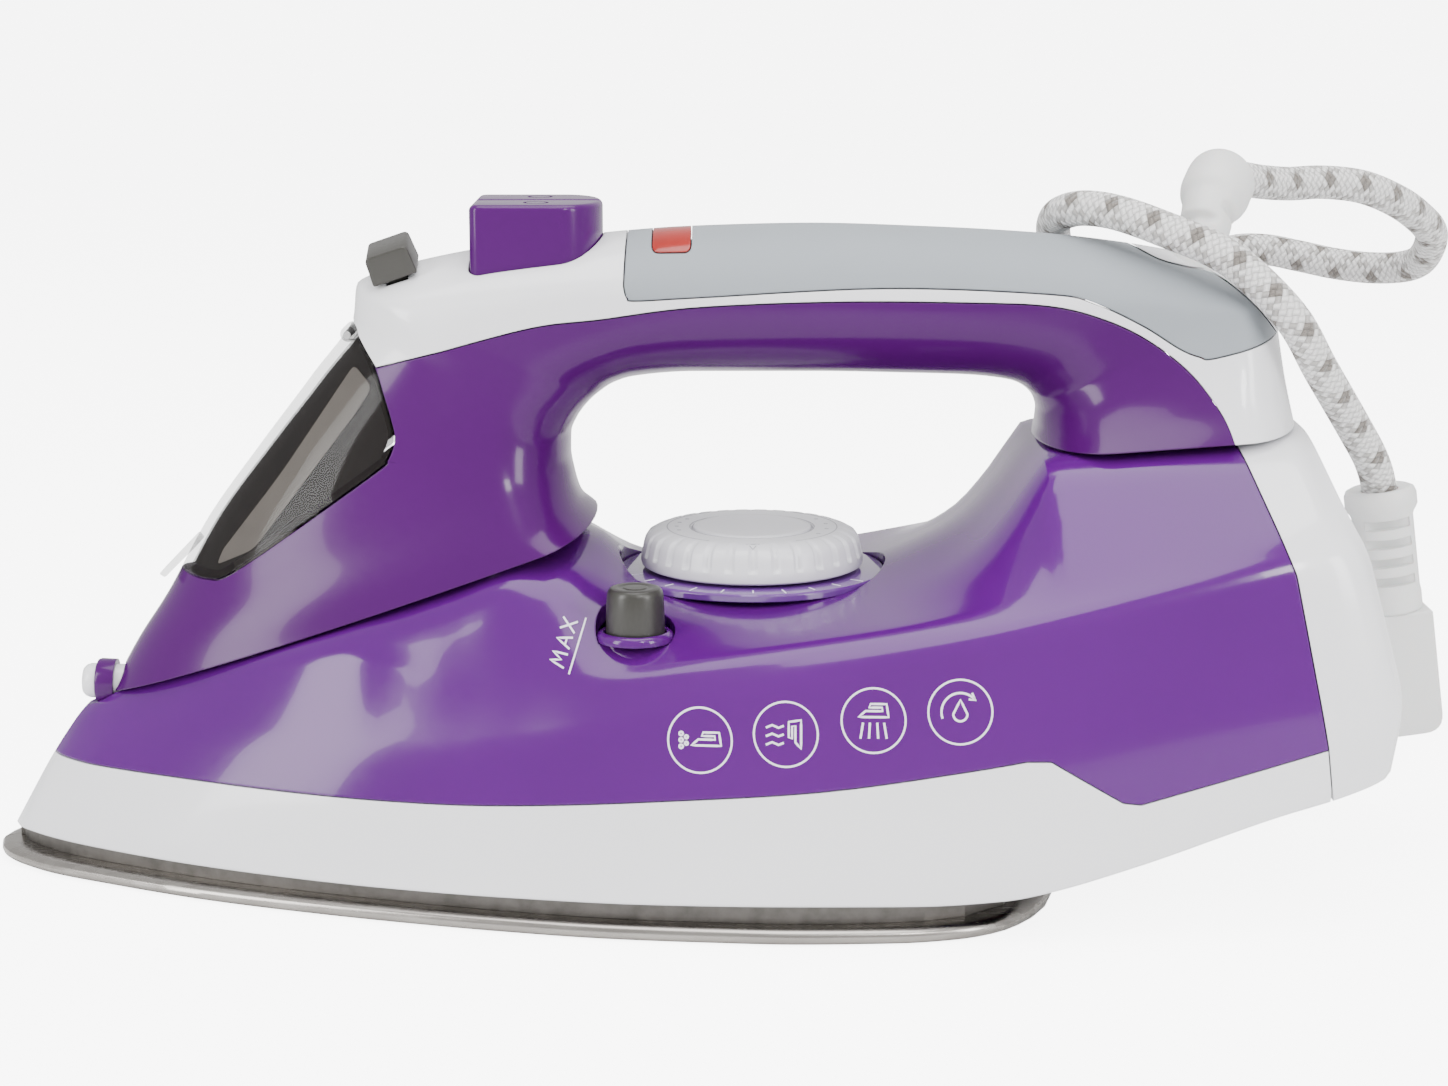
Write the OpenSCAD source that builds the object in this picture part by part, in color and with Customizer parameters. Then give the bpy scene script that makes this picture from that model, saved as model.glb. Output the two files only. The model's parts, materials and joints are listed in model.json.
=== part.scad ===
// Steam iron. Millimetres, +Z up, soleplate flat on z = 0, tip towards -X, dial side up.
// The origin is under the middle of the iron's length, on its plane of symmetry.

/* [Soleplate] */
// Thickness of the polished soleplate
plate_t = 3.2; // [2.5:0.1:4]
// How far the casting stands in from the soleplate's edge
casting_inset = 4; // [3:0.5:6]
// Diameter of a steam outlet
steam_hole_d = 2.6; // [2:0.1:3]

/* [Shells] */
// Wall thickness of the moulded covers
wall = 2.2; // [1.8:0.1:2.8]
// Gap around the fill lid
lid_gap = 0.5; // [0.3:0.1:0.8]

/* [Controls] */
// Diameter of the temperature dial
dial_d = 46; // [40:1:47]

/* [Cord] */
// Diameter of the braided mains lead
cord_d = 7.2; // [6.5:0.1:7.4]

/* [Hidden] */
$fn = 48;
white = [0.94, 0.94, 0.95];
purple = [0.36, 0.10, 0.56];
tank_purple = [0.45, 0.22, 0.72];
grip_grey = [0.55, 0.58, 0.61];
dark_grey = [0.28, 0.28, 0.26];
steel = [0.62, 0.61, 0.60];
rubber = [0.2, 0.2, 0.2];
cord_white = [0.86, 0.86, 0.85];
guard_white = [0.93, 0.93, 0.92];

// ---- smooth curves through hand-chosen points, without overshoot ----
function rise(a, b) = (b[1] - a[1]) / (b[0] - a[0]);
function knot_rise(p, i) =
    i == 0 ? rise(p[0], p[1]) :
    i == len(p) - 1 ? rise(p[i - 1], p[i]) :
    let (s = rise(p[i - 1], p[i]), t = rise(p[i], p[i + 1]))
    s * t <= 0 ? 0 : 2 * s * t / (s + t);
function span(p, x, i = 0) = (i >= len(p) - 2 || x < p[i + 1][0]) ? i : span(p, x, i + 1);
function curve(p, x) =
    let (
        i = span(p, x),
        h = p[i + 1][0] - p[i][0],
        t = min(1, max(0, (x - p[i][0]) / h))
    )
    (2 * t ^ 3 - 3 * t ^ 2 + 1) * p[i][1] + (t ^ 3 - 2 * t ^ 2 + t) * h * knot_rise(p, i)
    + (3 * t ^ 2 - 2 * t ^ 3) * p[i + 1][1] + (t ^ 3 - t ^ 2) * h * knot_rise(p, i + 1);
function column(table, k) = [for (row = table) [row[0], row[k]]];

// Faces that close a ring of n points: in flat strips where the ring mirrors about its middle point
function cap(n) = n % 2 == 1
    ? [for (k = [0 : (n - 3) / 2]) each [[k, k + 1, n - 2 - k], [k, n - 2 - k, n - 1 - k]]]
    : [for (k = [1 : n - 2]) [0, k, k + 1]];
function proper(faces) = [for (f = faces) if (f[0] != f[1] && f[1] != f[2] && f[2] != f[0]) f];
// Closed body through rings that all have the same number of points
module loft(rings) {
    n = len(rings[0]);
    m = len(rings);
    ends = proper(cap(n));
    sides = [for (i = [0 : m - 2], k = [0 : n - 1])
        let (a = i * n + k, b = i * n + (k + 1) % n)
        each [[a, b, a + n], [b, b + n, a + n]]];
    first = [for (f = ends) [f[0], f[2], f[1]]];
    last = [for (f = ends) [for (k = f) (m - 1) * n + k]];
    polyhedron(points = [for (r = rings) each r], faces = concat(sides, first, last));
}

// Prism across the whole width whose outline is given in the side view, as [x, z]
module side_prism(outline, half = 80) {
    rotate([90, 0, 0]) linear_extrude(2 * half, center = true) polygon(outline);
}

// ---- tubes along a route ----
function spline_point(p, i, t) =
    let (
        a = p[max(0, i - 1)],
        b = p[i],
        c = p[i + 1],
        d = p[min(len(p) - 1, i + 2)]
    )
    0.5 * (2 * b + (c - a) * t + (2 * a - 5 * b + 4 * c - d) * t ^ 2 + (3 * b - a - 3 * c + d) * t ^ 3);
function spline(p, steps) = concat(
    [for (i = [0 : len(p) - 2], k = [0 : steps - 1]) spline_point(p, i, k / steps)],
    [p[len(p) - 1]]
);
function unit(v) = v / norm(v);
function carried(up, dir) = unit(up - (up * dir) * dir);
function frames(p, i, up) =
    i >= len(p) ? [] :
    let (
        dir = unit(p[min(len(p) - 1, i + 1)] - p[max(0, i - 1)]),
        u = carried(up, dir)
    )
    concat([[p[i], u, cross(dir, u)]], frames(p, i + 1, u));
// Round body along a smooth curve, whose diameter follows widths, [place along the route, diameter]
module horn(route, widths, steps, sides) {
    path = spline(route, steps);
    rings = frames(path, 0, [0, 1, 0.3]);
    loft([for (i = [0 : len(rings) - 1])
        [for (k = [0 : sides - 1])
            let (a = 360 * k / sides, f = rings[i])
            f[0] + curve(widths, i / steps) / 2 * (f[1] * cos(a) + f[2] * sin(a))]]);
}
// Tube of diameter d along a smooth curve through the route's points
module tube(route, d, steps, sides = 8) {
    path = spline(route, steps);
    loft([for (f = frames(path, 0, [0, 1, 0.3]))
        [for (k = [0 : sides - 1])
            let (a = 360 * k / sides)
            f[0] + d / 2 * (f[1] * cos(a) + f[2] * sin(a))]]);
}
// ---- soleplate outline: [x, half width] ----
sole_half = [
    [-142.5, 0.6], [-141.4, 5], [-138.9, 9.5], [-134, 14.4], [-128.6, 18.6], [-117, 25],
    [-94.6, 35.8], [-73.6, 43.6], [-53.1, 50], [-33.2, 55.3], [-13.6, 59.4], [5.6, 61.7],
    [24.7, 63], [43.9, 62.3], [55.5, 60], [63.6, 55.9], [70, 49], [74.5, 40], [77, 30]
];
function sole_x(i, n) = -142.5 + 219.5 * (i / n) ^ 1.6;
function sole_edge(inset, n = 40) = [
    for (i = [0 : n]) let (x = sole_x(i, n))
        [x + inset * (1 - 2 * (i / n) ^ 3), max(0.3, curve(sole_half, x) - inset)]
];
module sole_outline(inset) {
    edge = sole_edge(inset);
    polygon(concat(edge, [for (i = [len(edge) - 1 : -1 : 0]) [edge[i][0], -edge[i][1]]]));
}

// ---- lower body: levels from the bottom edge to the centreline, rows of [x, y, z] ----
bottom_level = [
    [-139.2, 1.2, 6.2], [-137.5, 5, 6.2], [-134, 9, 6.3], [-128, 14, 6.3], [-119.3, 20, 6.4],
    [-97.3, 32, 6.5], [-76.3, 41, 6.6], [-56.3, 48, 6.7], [-33.3, 54, 6.8], [-4.3, 59, 6.9],
    [24.7, 61, 7.1], [47.7, 61.3, 7.3], [64.4, 60.6, 8.2], [72.4, 60, 9.6], [89.2, 58.3, 14.2],
    [117.2, 55, 23.3], [127.9, 53.3, 26.1], [134, 51.5, 27.8], [138, 49, 28.9], [140.2, 45, 29.4]
];
seam_level = [
    [-130.6, 1.2, 21.7], [-128.5, 4.6, 21.9], [-124.5, 9, 22.3], [-119.1, 13.8, 22.7],
    [-97.2, 27.5, 23], [-76.3, 37.6, 23.2], [-56.3, 44.8, 23.6], [-33.3, 50.8, 24.4],
    [-4.3, 55.8, 26.6], [30.1, 58.2, 29.4], [71.1, 57.8, 35], [100, 56.4, 39], [127.9, 53.6, 42],
    [136, 51.4, 43], [140.6, 49, 43.4], [142.5, 45, 43.5]
];
low_crease = [
    [-124.2, 1.2, 31], [-122.6, 3.4, 31.1], [-118.5, 7.4, 31.3], [-113, 12, 31.4],
    [-94.9, 25, 31.8], [-73.4, 36, 31.7], [-53.2, 43.4, 32.4], [-33.3, 48.4, 35],
    [-13.7, 51.6, 39.8], [5.6, 53.3, 45.1], [43.8, 54.2, 54.9], [81.9, 52.6, 63.3],
    [118.1, 50, 70.5], [126, 48.6, 71.6], [132, 46, 72.2], [135, 41, 72.4]
];
high_crease = [
    [-120.4, 1.1, 34], [-117.6, 4, 35], [-109, 10, 37.6], [-98.8, 15.5, 41], [-80, 24.6, 47.2],
    [-71, 28.4, 49.6], [-64.1, 31, 50.2], [-55, 35, 47.2], [-47.5, 38.2, 45.5], [-38, 41, 45],
    [-29.6, 43, 45.4], [-13.8, 46, 47.9], [5.6, 48, 52.2], [43.8, 49, 59.1], [63.1, 48.6, 62.6],
    [90, 47.2, 69.4], [113.9, 45.4, 75.9], [124, 43.4, 79], [130.6, 36, 81]
];
deck_level = [
    [-118.6, 1, 34.7], [-114, 5, 36.4], [-98.8, 14, 42.1], [-71, 24, 52.4], [-44.1, 29, 62.3],
    [-30, 30, 67], [-22, 29.6, 66.5], [-14, 29, 62.4], [-6, 28.6, 59.6], [6, 28.6, 58.4],
    [16, 28.8, 58.2], [40, 29.2, 60], [52, 29.4, 63.8], [60, 29.5, 69], [66, 29.5, 76],
    [71, 29.5, 83.5], [74.4, 29.5, 88.1], [83.3, 29.5, 88.9], [110.7, 28.8, 90.9],
    [122, 26.6, 91.7], [127, 18, 92.1]
];
centre_level = [
    [-118.5, 0, 34.8], [-98.8, 0, 42.1], [-71, 0, 52.4], [-44.1, 0, 62.3], [-24, 0, 69.4],
    [-17, 0, 69.8], [-13, 0, 67], [-9, 0, 63.6], [-3, 0, 61.2], [16, 0, 60.6], [34, 0, 61],
    [42, 0, 63], [50, 0, 66.4], [59.1, 0, 71.4], [66.9, 0, 79.8], [72, 0, 86.4], [75.5, 0, 88.5],
    [95, 0, 90], [127.2, 0, 92.2]
];
LEVELS = [bottom_level, seam_level, low_crease, high_crease, deck_level, centre_level];
LOWER_STATIONS = 44;

// Station s = 0 is the nose and s = 1 the rear; stations crowd together at both ends
function crowd(s) = (1 - cos(180 * s)) / 2;
function level_point(k, s, inset, side) =
    let (
        t = LEVELS[k],
        first = t[0][0],
        last = t[len(t) - 1][0],
        x = first + (last - first) * crowd(s),
        y = max(k == 5 ? 0 : 0.6, curve(column(t, 1), x) - inset),
        z = curve(column(t, 2), x) - (k == 0 ? inset * 6 : k == 1 ? 0 : inset)
    )
    [x + inset * 1.6 * (1 - 2 * s), side * y, z];
function lower_ring(s, inset) = concat(
    [for (k = [0 : 4]) level_point(k, s, inset, -1)],
    [level_point(5, s, inset, 1)],
    [for (k = [4 : -1 : 0]) level_point(k, s, inset, 1)]
);
module lower_body(inset) {
    loft([for (i = [0 : LOWER_STATIONS]) lower_ring(i / LOWER_STATIONS, inset)]);
}
// ---- handle: cross-sections that turn round the finger hole ----
// [inner x, inner z, outer x, outer z, half width, inner rounding, outer rounding]
HANDLE = [
    [-16, 72.9, -118.1, 35.1, 30.5, 0.10, 1.00],
    [-19, 76, -112, 46, 29, 0.14, 1.00],
    [-20.6, 81, -105.4, 56, 26.5, 0.18, 0.98],
    [-21.3, 85.5, -96.6, 71.6, 23.5, 0.22, 0.92],
    [-21.2, 89.5, -85.4, 86.9, 21.3, 0.25, 0.80],
    [-19.8, 93, -74.4, 101.2, 20, 0.27, 0.62],
    [-17.3, 96.3, -65.4, 113.6, 19.4, 0.28, 0.46],
    [-15, 98.3, -64.6, 120, 19.2, 0.30, 0.38],
    [-12.6, 99.9, -45, 126.2, 19, 0.34, 0.36],
    [-11, 100.6, -26, 129, 18.8, 0.38, 0.36],
    [-9, 101.2, -9, 130.9, 18.5, 0.42, 0.40],
    [4, 102.3, 4.2, 131.8, 18, 0.46, 0.46],
    [28, 102.3, 27.9, 132.4, 17.7, 0.48, 0.50],
    [46, 102, 51.6, 131.7, 17.6, 0.48, 0.50],
    [60, 101.6, 75.4, 130.3, 17.7, 0.46, 0.46],
    [69, 100.4, 98, 127.4, 18, 0.42, 0.38],
    [72, 98.8, 111, 124.2, 18.6, 0.38, 0.30],
    [73.6, 96.8, 121.2, 120.4, 19.4, 0.34, 0.22],
    [74.3, 94.2, 122.8, 112, 21.2, 0.30, 0.22],
    [74.2, 91.4, 124.6, 101.6, 25, 0.27, 0.24],
    [73.8, 88.9, 126.6, 92.8, 29.6, 0.25, 0.26]
];
TURNS = len(HANDLE) - 1;
function handle_value(t, k) = curve([for (i = [0 : TURNS]) [i, HANDLE[i][k]]], t);
function rounded(q, n) = q >= 1 ? 1 : (1 - (1 - max(0, q)) ^ n) ^ (1 / n);
// One ring at turn t: r runs from 0 at the finger hole to 1 at the outside, and back
function handle_ring(t, inset, half_count = 11) =
    let (
        inner = [handle_value(t, 0), handle_value(t, 1)],
        outer = [handle_value(t, 2), handle_value(t, 3)],
        reach = norm(outer - inner),
        w = handle_value(t, 4) - inset,
        a = handle_value(t, 5),
        b = handle_value(t, 6)
    )
    [for (k = [0 : 2 * half_count - 1])
        let (
            angle = 180 * k / half_count,
            r = (1 - cos(angle)) / 2,
            y = w * rounded(r / a, 2.1) * rounded((1 - r) / b, 1.9),
            d = inset / reach + r * (1 - 2 * inset / reach),
            p = inner + (outer - inner) * d
        )
        [p[0], angle < 180 ? -y : y, p[1]]
    ];
module handle_body(inset, steps = 42) {
    ring_set = [for (i = [0 : steps]) handle_ring(TURNS * i / steps, inset)];
    // a hollow is drawn a little longer at both ends, so that the shell stays open there
    first = [for (p = ring_set[0]) p + (inset > 0 ? [0.4, 0, -1.2] : [0, 0, 0])];
    last = [for (p = ring_set[steps]) p + (inset > 0 ? [0, 0, -1.2] : [0, 0, 0])];
    loft(concat([first], [for (i = [1 : steps - 1]) ring_set[i]], [last]));
}
module handle_skin() {
    difference() {
        handle_body(0);
        handle_body(wall);
    }
}

// ---- seams in the side view ----
LID_OUTLINE = [
    [-75, 119], [-66.5, 112.6], [-59.9, 104.4], [-56.7, 94.7], [-56, 90.8], [-57.4, 86.8],
    [-60.1, 84.1], [-82.9, 67.6], [-91.4, 61.9], [-95.3, 61], [-100.4, 61.4], [-112, 64]
];
COVER_LINE = [
    [-66, 114.4], [-64, 111.1], [-59.4, 104.8], [-47, 108.3], [-27.8, 113.3], [-14.4, 114.9],
    [4.3, 117.2], [32.3, 118.3], [60.2, 118.1], [74.3, 117.5], [83.6, 115.5], [93.1, 111.5],
    [102.3, 104.8], [108.4, 96.8], [110.9, 90]
];
GRIP_OUTLINE = [
    [-9, 140], [-9.7, 121.5], [-9, 119.2], [-7.2, 118.6], [5.4, 119.2], [41.7, 120.9],
    [74.3, 119.8], [83.7, 118], [93.3, 113.6], [100.3, 109.3], [104.3, 107.7], [107.6, 107.5],
    [121.4, 111.3], [114.7, 118.5], [108.4, 123.2], [102.8, 124.5], [97.5, 125.9],
    [92, 128.6], [87, 140]
];
SKIRT_LINE = [
    [-150, 21.7], [-130.4, 21.7], [-97.2, 23], [-56.3, 23.6], [-33.3, 24.4], [-4.3, 26.6],
    [30.1, 29.4], [55.6, 33], [70, 35.1], [72.6, 35.1], [86.5, 27], [90, 26.6], [127, 36.6]
];
REAR_LINE = [[110.9, 100], [111.3, 91.3], [119.5, 69.7], [126.1, 36.8], [128.2, 20]];
function above(line, top) = concat(line, [[line[len(line) - 1][0], top], [line[0][0], top]]);
function below(line) = concat(line, [[line[len(line) - 1][0], 0], [line[0][0], 0]]);
function shifted(line, d) = [for (p = line) p + d];
module cover_region() {
    side_prism(concat(COVER_LINE, [[150, 90], [150, 150], [-66, 150]]));
}
module rear_region() {
    side_prism(concat(REAR_LINE, [[160, 20], [160, 100]]));
}
module lid_region(gap) {
    if (gap > 0)
        rotate([90, 0, 0]) linear_extrude(160, center = true) offset(delta = gap) polygon(LID_OUTLINE);
    else
        side_prism(LID_OUTLINE);
}
HINGE = [-66.2, 110.2];
hinge_relief = 2.7;
module hinge_rod(length, r) {
    translate([HINGE[0], 0, HINGE[1]]) rotate([90, 0, 0]) cylinder(length, r = r, center = true);
}
module hinge_ears() {
    intersection() {
        handle_body(0.3);
        for (side = [-1, 1]) translate([HINGE[0], side * 5.5, HINGE[1]]) {
            rotate([90, 0, 0]) cylinder(1.8, r = 2, center = true);
            rotate([0, -50, 0]) translate([0, -0.9, -1.5]) cube([4.8, 1.8, 3]);
        }
    }
}

// ---- heater ----
CHAMBER_FRONT = -58;
CHAMBER_REAR = -14;
module slot_outline(r, x0, x1) {
    translate([x0, 0]) circle(r);
    translate([x0, -r]) square([x1 - x0, 2 * r]);
}
module soleplate() {
    color(steel) difference() {
        linear_extrude(plate_t) sole_outline(0);
        for (side = [-1, 1], i = [0 : 8])
            let (x = -108 + 18 * i)
            translate([x, side * (curve(sole_half, x) - 13), -1]) cylinder(plate_t + 2, d = steam_hole_d, $fn = 24);
        for (i = [0 : 4])
            translate([-122 + 12 * i, 0, -1]) cylinder(plate_t + 2, d = steam_hole_d, $fn = 24);
    }
}
casting_h = 10.8;
casting_top = plate_t + casting_h;
element_z = 8.6;
element_r = 3.5;
element_half = 29;
element_front = -52;
element_rear = 60;
module element_path(r) {
    for (side = [-1, 1])
        translate([element_front, side * element_half, element_z]) rotate([0, 90, 0])
            cylinder(element_rear - element_front, r = r);
    translate([element_front, 0, element_z]) rotate([0, 0, 90])
        rotate_extrude(angle = 180) translate([element_half, 0]) circle(r);
}
module element_studs(r, top) {
    for (side = [-1, 1])
        translate([element_rear - 5, side * element_half, element_z]) cylinder(top - element_z, r = r);
}
screw_spots = [for (side = [-1, 1], x = [-58, -36, -14]) [x, side * 23.5 * (x == -58 ? 0.87 : 0.9)]];
module heater_casting() {
    color([0.35, 0.34, 0.33]) difference() {
        union() {
            translate([0, 0, plate_t]) linear_extrude(4) sole_outline(casting_inset);
            translate([0, 0, plate_t + 3.9]) linear_extrude(casting_h - 3.9) sole_outline(casting_inset + 9);
        }
        translate([0, 0, 7]) linear_extrude(20) slot_outline(17.5, CHAMBER_FRONT + 8, CHAMBER_REAR - 6);
        element_path(element_r + 0.05);
        element_studs(2.6, 30);
        for (p = screw_spots) translate([p[0], p[1], 8]) cylinder(20, d = 3);
        for (side = [-1, 1], i = [0 : 2])
            translate([-50 + 12 * i, side * 10, plate_t - 1]) cylinder(10, d = 3, $fn = 24);
    }
}
module heating_element() {
    color([0.5, 0.5, 0.48]) {
        element_path(element_r);
        element_studs(1.75, 21);
    }
}
module chamber_plate(h) {
    linear_extrude(h) difference() {
        slot_outline(24.5, CHAMBER_FRONT + 8, CHAMBER_REAR + 3);
        for (p = screw_spots) translate(p) circle(d = 3.4);
        children();
    }
}
gasket_t = 0.8;
module chamber_gasket() {
    color(rubber) translate([0, 0, casting_top]) chamber_plate(gasket_t)
        slot_outline(18, CHAMBER_FRONT + 8, CHAMBER_REAR - 6);
}
valve_x = -46;
module steam_chamber_cover() {
    color([0.7, 0.7, 0.72]) translate([0, 0, casting_top + gasket_t]) chamber_plate(1.2)
        translate([valve_x, 0]) circle(d = 6);
}
module chamber_screws() {
    color(steel) for (p = screw_spots) translate([p[0], p[1], casting_top + gasket_t + 1.2]) {
        cylinder(2, d = 5.6);
        translate([0, 0, -7]) cylinder(7.5, d = 2.98);
    }
}
dial_x = 16;
module thermostat() {
    color([0.8, 0.76, 0.6]) difference() {
        translate([dial_x, 0, casting_top]) {
            translate([-4, -8, 0]) cube([30, 16, 1.6]);
            cylinder(12, d = 13);
            translate([10, -5, 1.6]) cube([13, 10, 4]);
        }
        translate([dial_x, 0, casting_top + 3]) cylinder(20, d = 4.1);
    }
}
module thermal_fuse() {
    color([0.75, 0.72, 0.6]) {
        translate([52, 12, casting_top + 2.5]) rotate([0, 90, 0]) cylinder(14, d = 5);
        translate([57, 8, casting_top]) cube([4, 8, 2]);
    }
}

// ---- body shells ----
nose_end = -125;
module lower_cavity() {
    intersection() {
        lower_body(wall);
        translate([nose_end, -100, -10]) cube([400, 200, 200]);
    }
}
module lower_shell() {
    difference() {
        lower_body(0);
        lower_cavity();
    }
}
module skirt() {
    color(white) difference() {
        intersection() {
            lower_shell();
            side_prism(below(SKIRT_LINE));
        }
        rear_region();
        translate([0, 0, plate_t - 4]) linear_extrude(8.2) sole_outline(casting_inset - 0.6);
        translate([0, 0, plate_t]) linear_extrude(casting_h + 0.6) sole_outline(casting_inset + 8.2);
    }
}
HEEL_STRIP = [
    [70, 9.8], [78, 12.2], [89.2, 15.2], [117.2, 24.2], [127.9, 27.2], [150, 33],
    [150, 35], [127.9, 29.2], [117.2, 26.2], [89.2, 17.2], [78, 14.2], [70, 11.8]
];
module heel_plate() {
    color(white) intersection() {
        lower_body(wall + 0.1);
        side_prism(HEEL_STRIP);
    }
}
ring_seat = 59.4;
ring_d = 55;
clean_at = [-7.2, -36];
funnel_at = [-82, 0];
tank_holes = [[dial_x, 0], [valve_x, 0], clean_at];
module tank_posts(low) {
    for (p = tank_holes) translate([p[0], p[1], low]) cylinder(80, d = p == clean_at ? 18 : 10);
}
module water_tank() {
    color(tank_purple, 0.8) difference() {
        intersection() {
            lower_body(0);
            side_prism(above(shifted(SKIRT_LINE, [0, 0.02]), 100));
        }
        difference() {
            intersection() {
                lower_body(wall);
                translate([nose_end + 8, -100, -10]) cube([400, 200, 200]);
                side_prism(above(shifted(SKIRT_LINE, [0, 3.2]), 100));
            }
            side_prism(concat(shifted(REAR_LINE, [-2.6, 0]), [[160, 20], [160, 100]]));
            tank_posts(20);
            nozzle_frame() translate([0, 0, -12]) cylinder(20, d = 14);
            translate([dial_x, 0, 57]) cylinder(20, d = 66);
        }
        translate([dial_x, 0, ring_seat]) cylinder(20, d = ring_d + 0.4);
        rear_region();
        translate([dial_x, 0, 10]) cylinder(80, d = 7);
        translate([valve_x, 0, 10]) cylinder(80, d = 5);
        translate([clean_at[0], clean_at[1], 10]) cylinder(80, d = 5);
        translate([clean_at[0], clean_at[1], 51.4]) cylinder(20, d = 12.6);
        translate([clean_at[0], clean_at[1], 53.8]) cylinder(20, d = 15.8);
        nozzle_hole();
        translate([funnel_at[0], 0, 44]) cylinder(30, d = 16);
    }
}
module screw_frames() {
    for (side = [-1, 1]) translate([135.4, side * 30, 58]) rotate([0, 80, 0]) children();
}
module rear_cover() {
    color(white) difference() {
        union() {
            intersection() {
                lower_shell();
                rear_region();
            }
            intersection() {
                lower_body(0.6);
                screw_frames() translate([0, 0, -6]) cylinder(12, d = 10);
            }
        }
        screw_frames() {
            cylinder(12, d = 6.6);
            translate([0, 0, -12]) cylinder(20, d = 3.3);
        }
        translate([114.5, -8, 84]) cube([7.5, 16, 14]);
    }
}

// ---- handle shells ----
module handle_shell() {
    color(purple) difference() {
        handle_skin();
        cover_region();
        lid_region(lid_gap);
        hinge_rod(60, hinge_relief);
        translate([-70, -20, 111]) cube([8, 40, 8]);
        nozzle_hole();
    }
}
BUTTON_PLAN = [
    [-40.6, 11.4], [-40.2, 12.8], [-39.4, 13.5], [-38.2, 13.8], [-23, 13.8], [-21, 13.5], [-19.2, 12.6],
    [-17.4, 11], [-16, 8.8], [-15, 6], [-14.5, 3], [-14.4, 0], [-14.5, -3], [-15, -6], [-16, -8.8],
    [-17.4, -11], [-19.2, -12.6], [-21, -13.5], [-23, -13.8], [-38.2, -13.8], [-39.4, -13.5],
    [-40.2, -12.8], [-40.6, -11.4]
];
module button_plan(grow) {
    offset(delta = grow) polygon(BUTTON_PLAN);
}
lever_at = [-55.9, 0, 123.2];
lever_slope = 19;
lever_reach = 30;
lever_rest = 11;
// x along the slope of the cover, z away from it, origin on the lever's pivot
module lever_frame() {
    translate(lever_at) rotate([0, -lever_slope, 0]) translate([0, 0, -lever_reach]) children();
}
module top_cover() {
    color(white) difference() {
        union() {
            difference() {
                intersection() {
                    handle_skin();
                    cover_region();
                }
                hinge_rod(60, hinge_relief);
            }
            hinge_ears();
        }
        hinge_rod(30, 0.83);
        side_prism(GRIP_OUTLINE);
        translate([0, 0, 105]) linear_extrude(40) button_plan(0.35);
        lever_frame() translate([-2.4, -10.5, 15]) cube([4.8, 21, 20]);
        guard_seat();
    }
}
module soft_grip() {
    color(grip_grey) difference() {
        intersection() {
            handle_skin();
            side_prism(GRIP_OUTLINE);
        }
        side_prism([[-4.4, 145], [-4.4, 128.2], [-3.4, 127.3], [2.8, 127.4], [3.8, 128.3], [3.8, 145]]);
        guard_seat();
    }
}
module fill_lid() {
    color([0.12, 0.11, 0.12], 0.7) difference() {
        union() {
            intersection() {
                handle_skin();
                lid_region(0);
            }
            hinge_rod(8.4, 1.6);
            hull() {
                translate([-105.8, 0, 60.4]) rotate([90, 0, 0]) cylinder(6, r = 0.8, center = true, $fn = 32);
                translate([-98.6, 0, 67.2]) rotate([90, 0, 0]) cylinder(8, r = 0.8, center = true, $fn = 32);
            }
        }
        hinge_rod(24, 0.85);
        for (side = [-1, 1]) translate([0, side * 6.4, 0]) hinge_rod(3.9, 2.5);
    }
}
module lid_hinge_pin() {
    color(steel) hinge_rod(12.4, 0.8);
}
module fill_funnel() {
    color([0.85, 0.82, 0.78]) translate([funnel_at[0], 0, 44.5]) difference() {
        union() {
            cylinder(8, d = 15.8);
            translate([0, 0, 8]) cylinder(18, d1 = 15.8, d2 = 22);
        }
        translate([0, 0, -1]) cylinder(9.01, d = 12.6);
        translate([0, 0, 8]) cylinder(18.01, d1 = 12.6, d2 = 19);
    }
}

// ---- spray nozzle ----
NOZZLE = [-118, 36.6];
module nozzle_frame() {
    translate([NOZZLE[0], 0, NOZZLE[1]]) rotate([0, -88, 0]) children();
}
module nozzle_hole() {
    nozzle_frame() translate([0, 0, -7]) cylinder(14, d = 9.8);
}
module nozzle_collar() {
    color(purple) nozzle_frame() difference() {
        translate([0, 0, -1]) cylinder(4, d = 9.6);
        translate([0, 0, -2]) cylinder(8, d = 7.4);
    }
}
module spray_nozzle() {
    color(white) nozzle_frame() difference() {
        union() {
            translate([0, 0, -6]) cylinder(10.8, d = 7.3);
            translate([0, 0, 4.8]) cylinder(1.2, d1 = 7.3, d2 = 5);
        }
        translate([0, 0, 4]) cylinder(5, d = 1.2);
    }
}

// ---- buttons, springs and pumps ----
pump_x = -33;
pump_y = 8.2;
piston_r = 4.5;
module button_block(side) {
    difference() {
        translate([0, 0, 118]) linear_extrude(19.2) intersection() {
            button_plan(0);
            translate([-60, side > 0 ? 0.3 : -30]) square([60, 29.7]);
        }
        translate([0, 0, 110]) linear_extrude(25.2) intersection() {
            button_plan(-2);
            translate([-60, side > 0 ? 2.3 : -30]) square([60, 27.7]);
        }
    }
    translate([pump_x, side * pump_y, 120]) cylinder(16, d = 6);
}
module spray_button() {
    color(purple) button_block(-1);
}
module steam_button() {
    color(purple) button_block(1);
}
module pump_piston(side) {
    translate([pump_x, side * pump_y, 99]) cylinder(4, r = piston_r);
    translate([pump_x, side * pump_y, 103]) cylinder(17, d = 3.4);
}
module spray_piston() {
    color(rubber) pump_piston(-1);
}
module steam_piston() {
    color(rubber) pump_piston(1);
}
module pump_barrel(side) {
    translate([pump_x, side * pump_y, 90]) difference() {
        cylinder(20, d = 12);
        translate([0, 0, 2]) cylinder(16, r = piston_r + 0.06);
        translate([0, 0, 17]) cylinder(4, d = 3.6);
    }
}
module spray_pump() {
    color([0.9, 0.9, 0.88]) pump_barrel(-1);
}
module steam_pump() {
    color([0.9, 0.9, 0.88]) pump_barrel(1);
}
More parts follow.
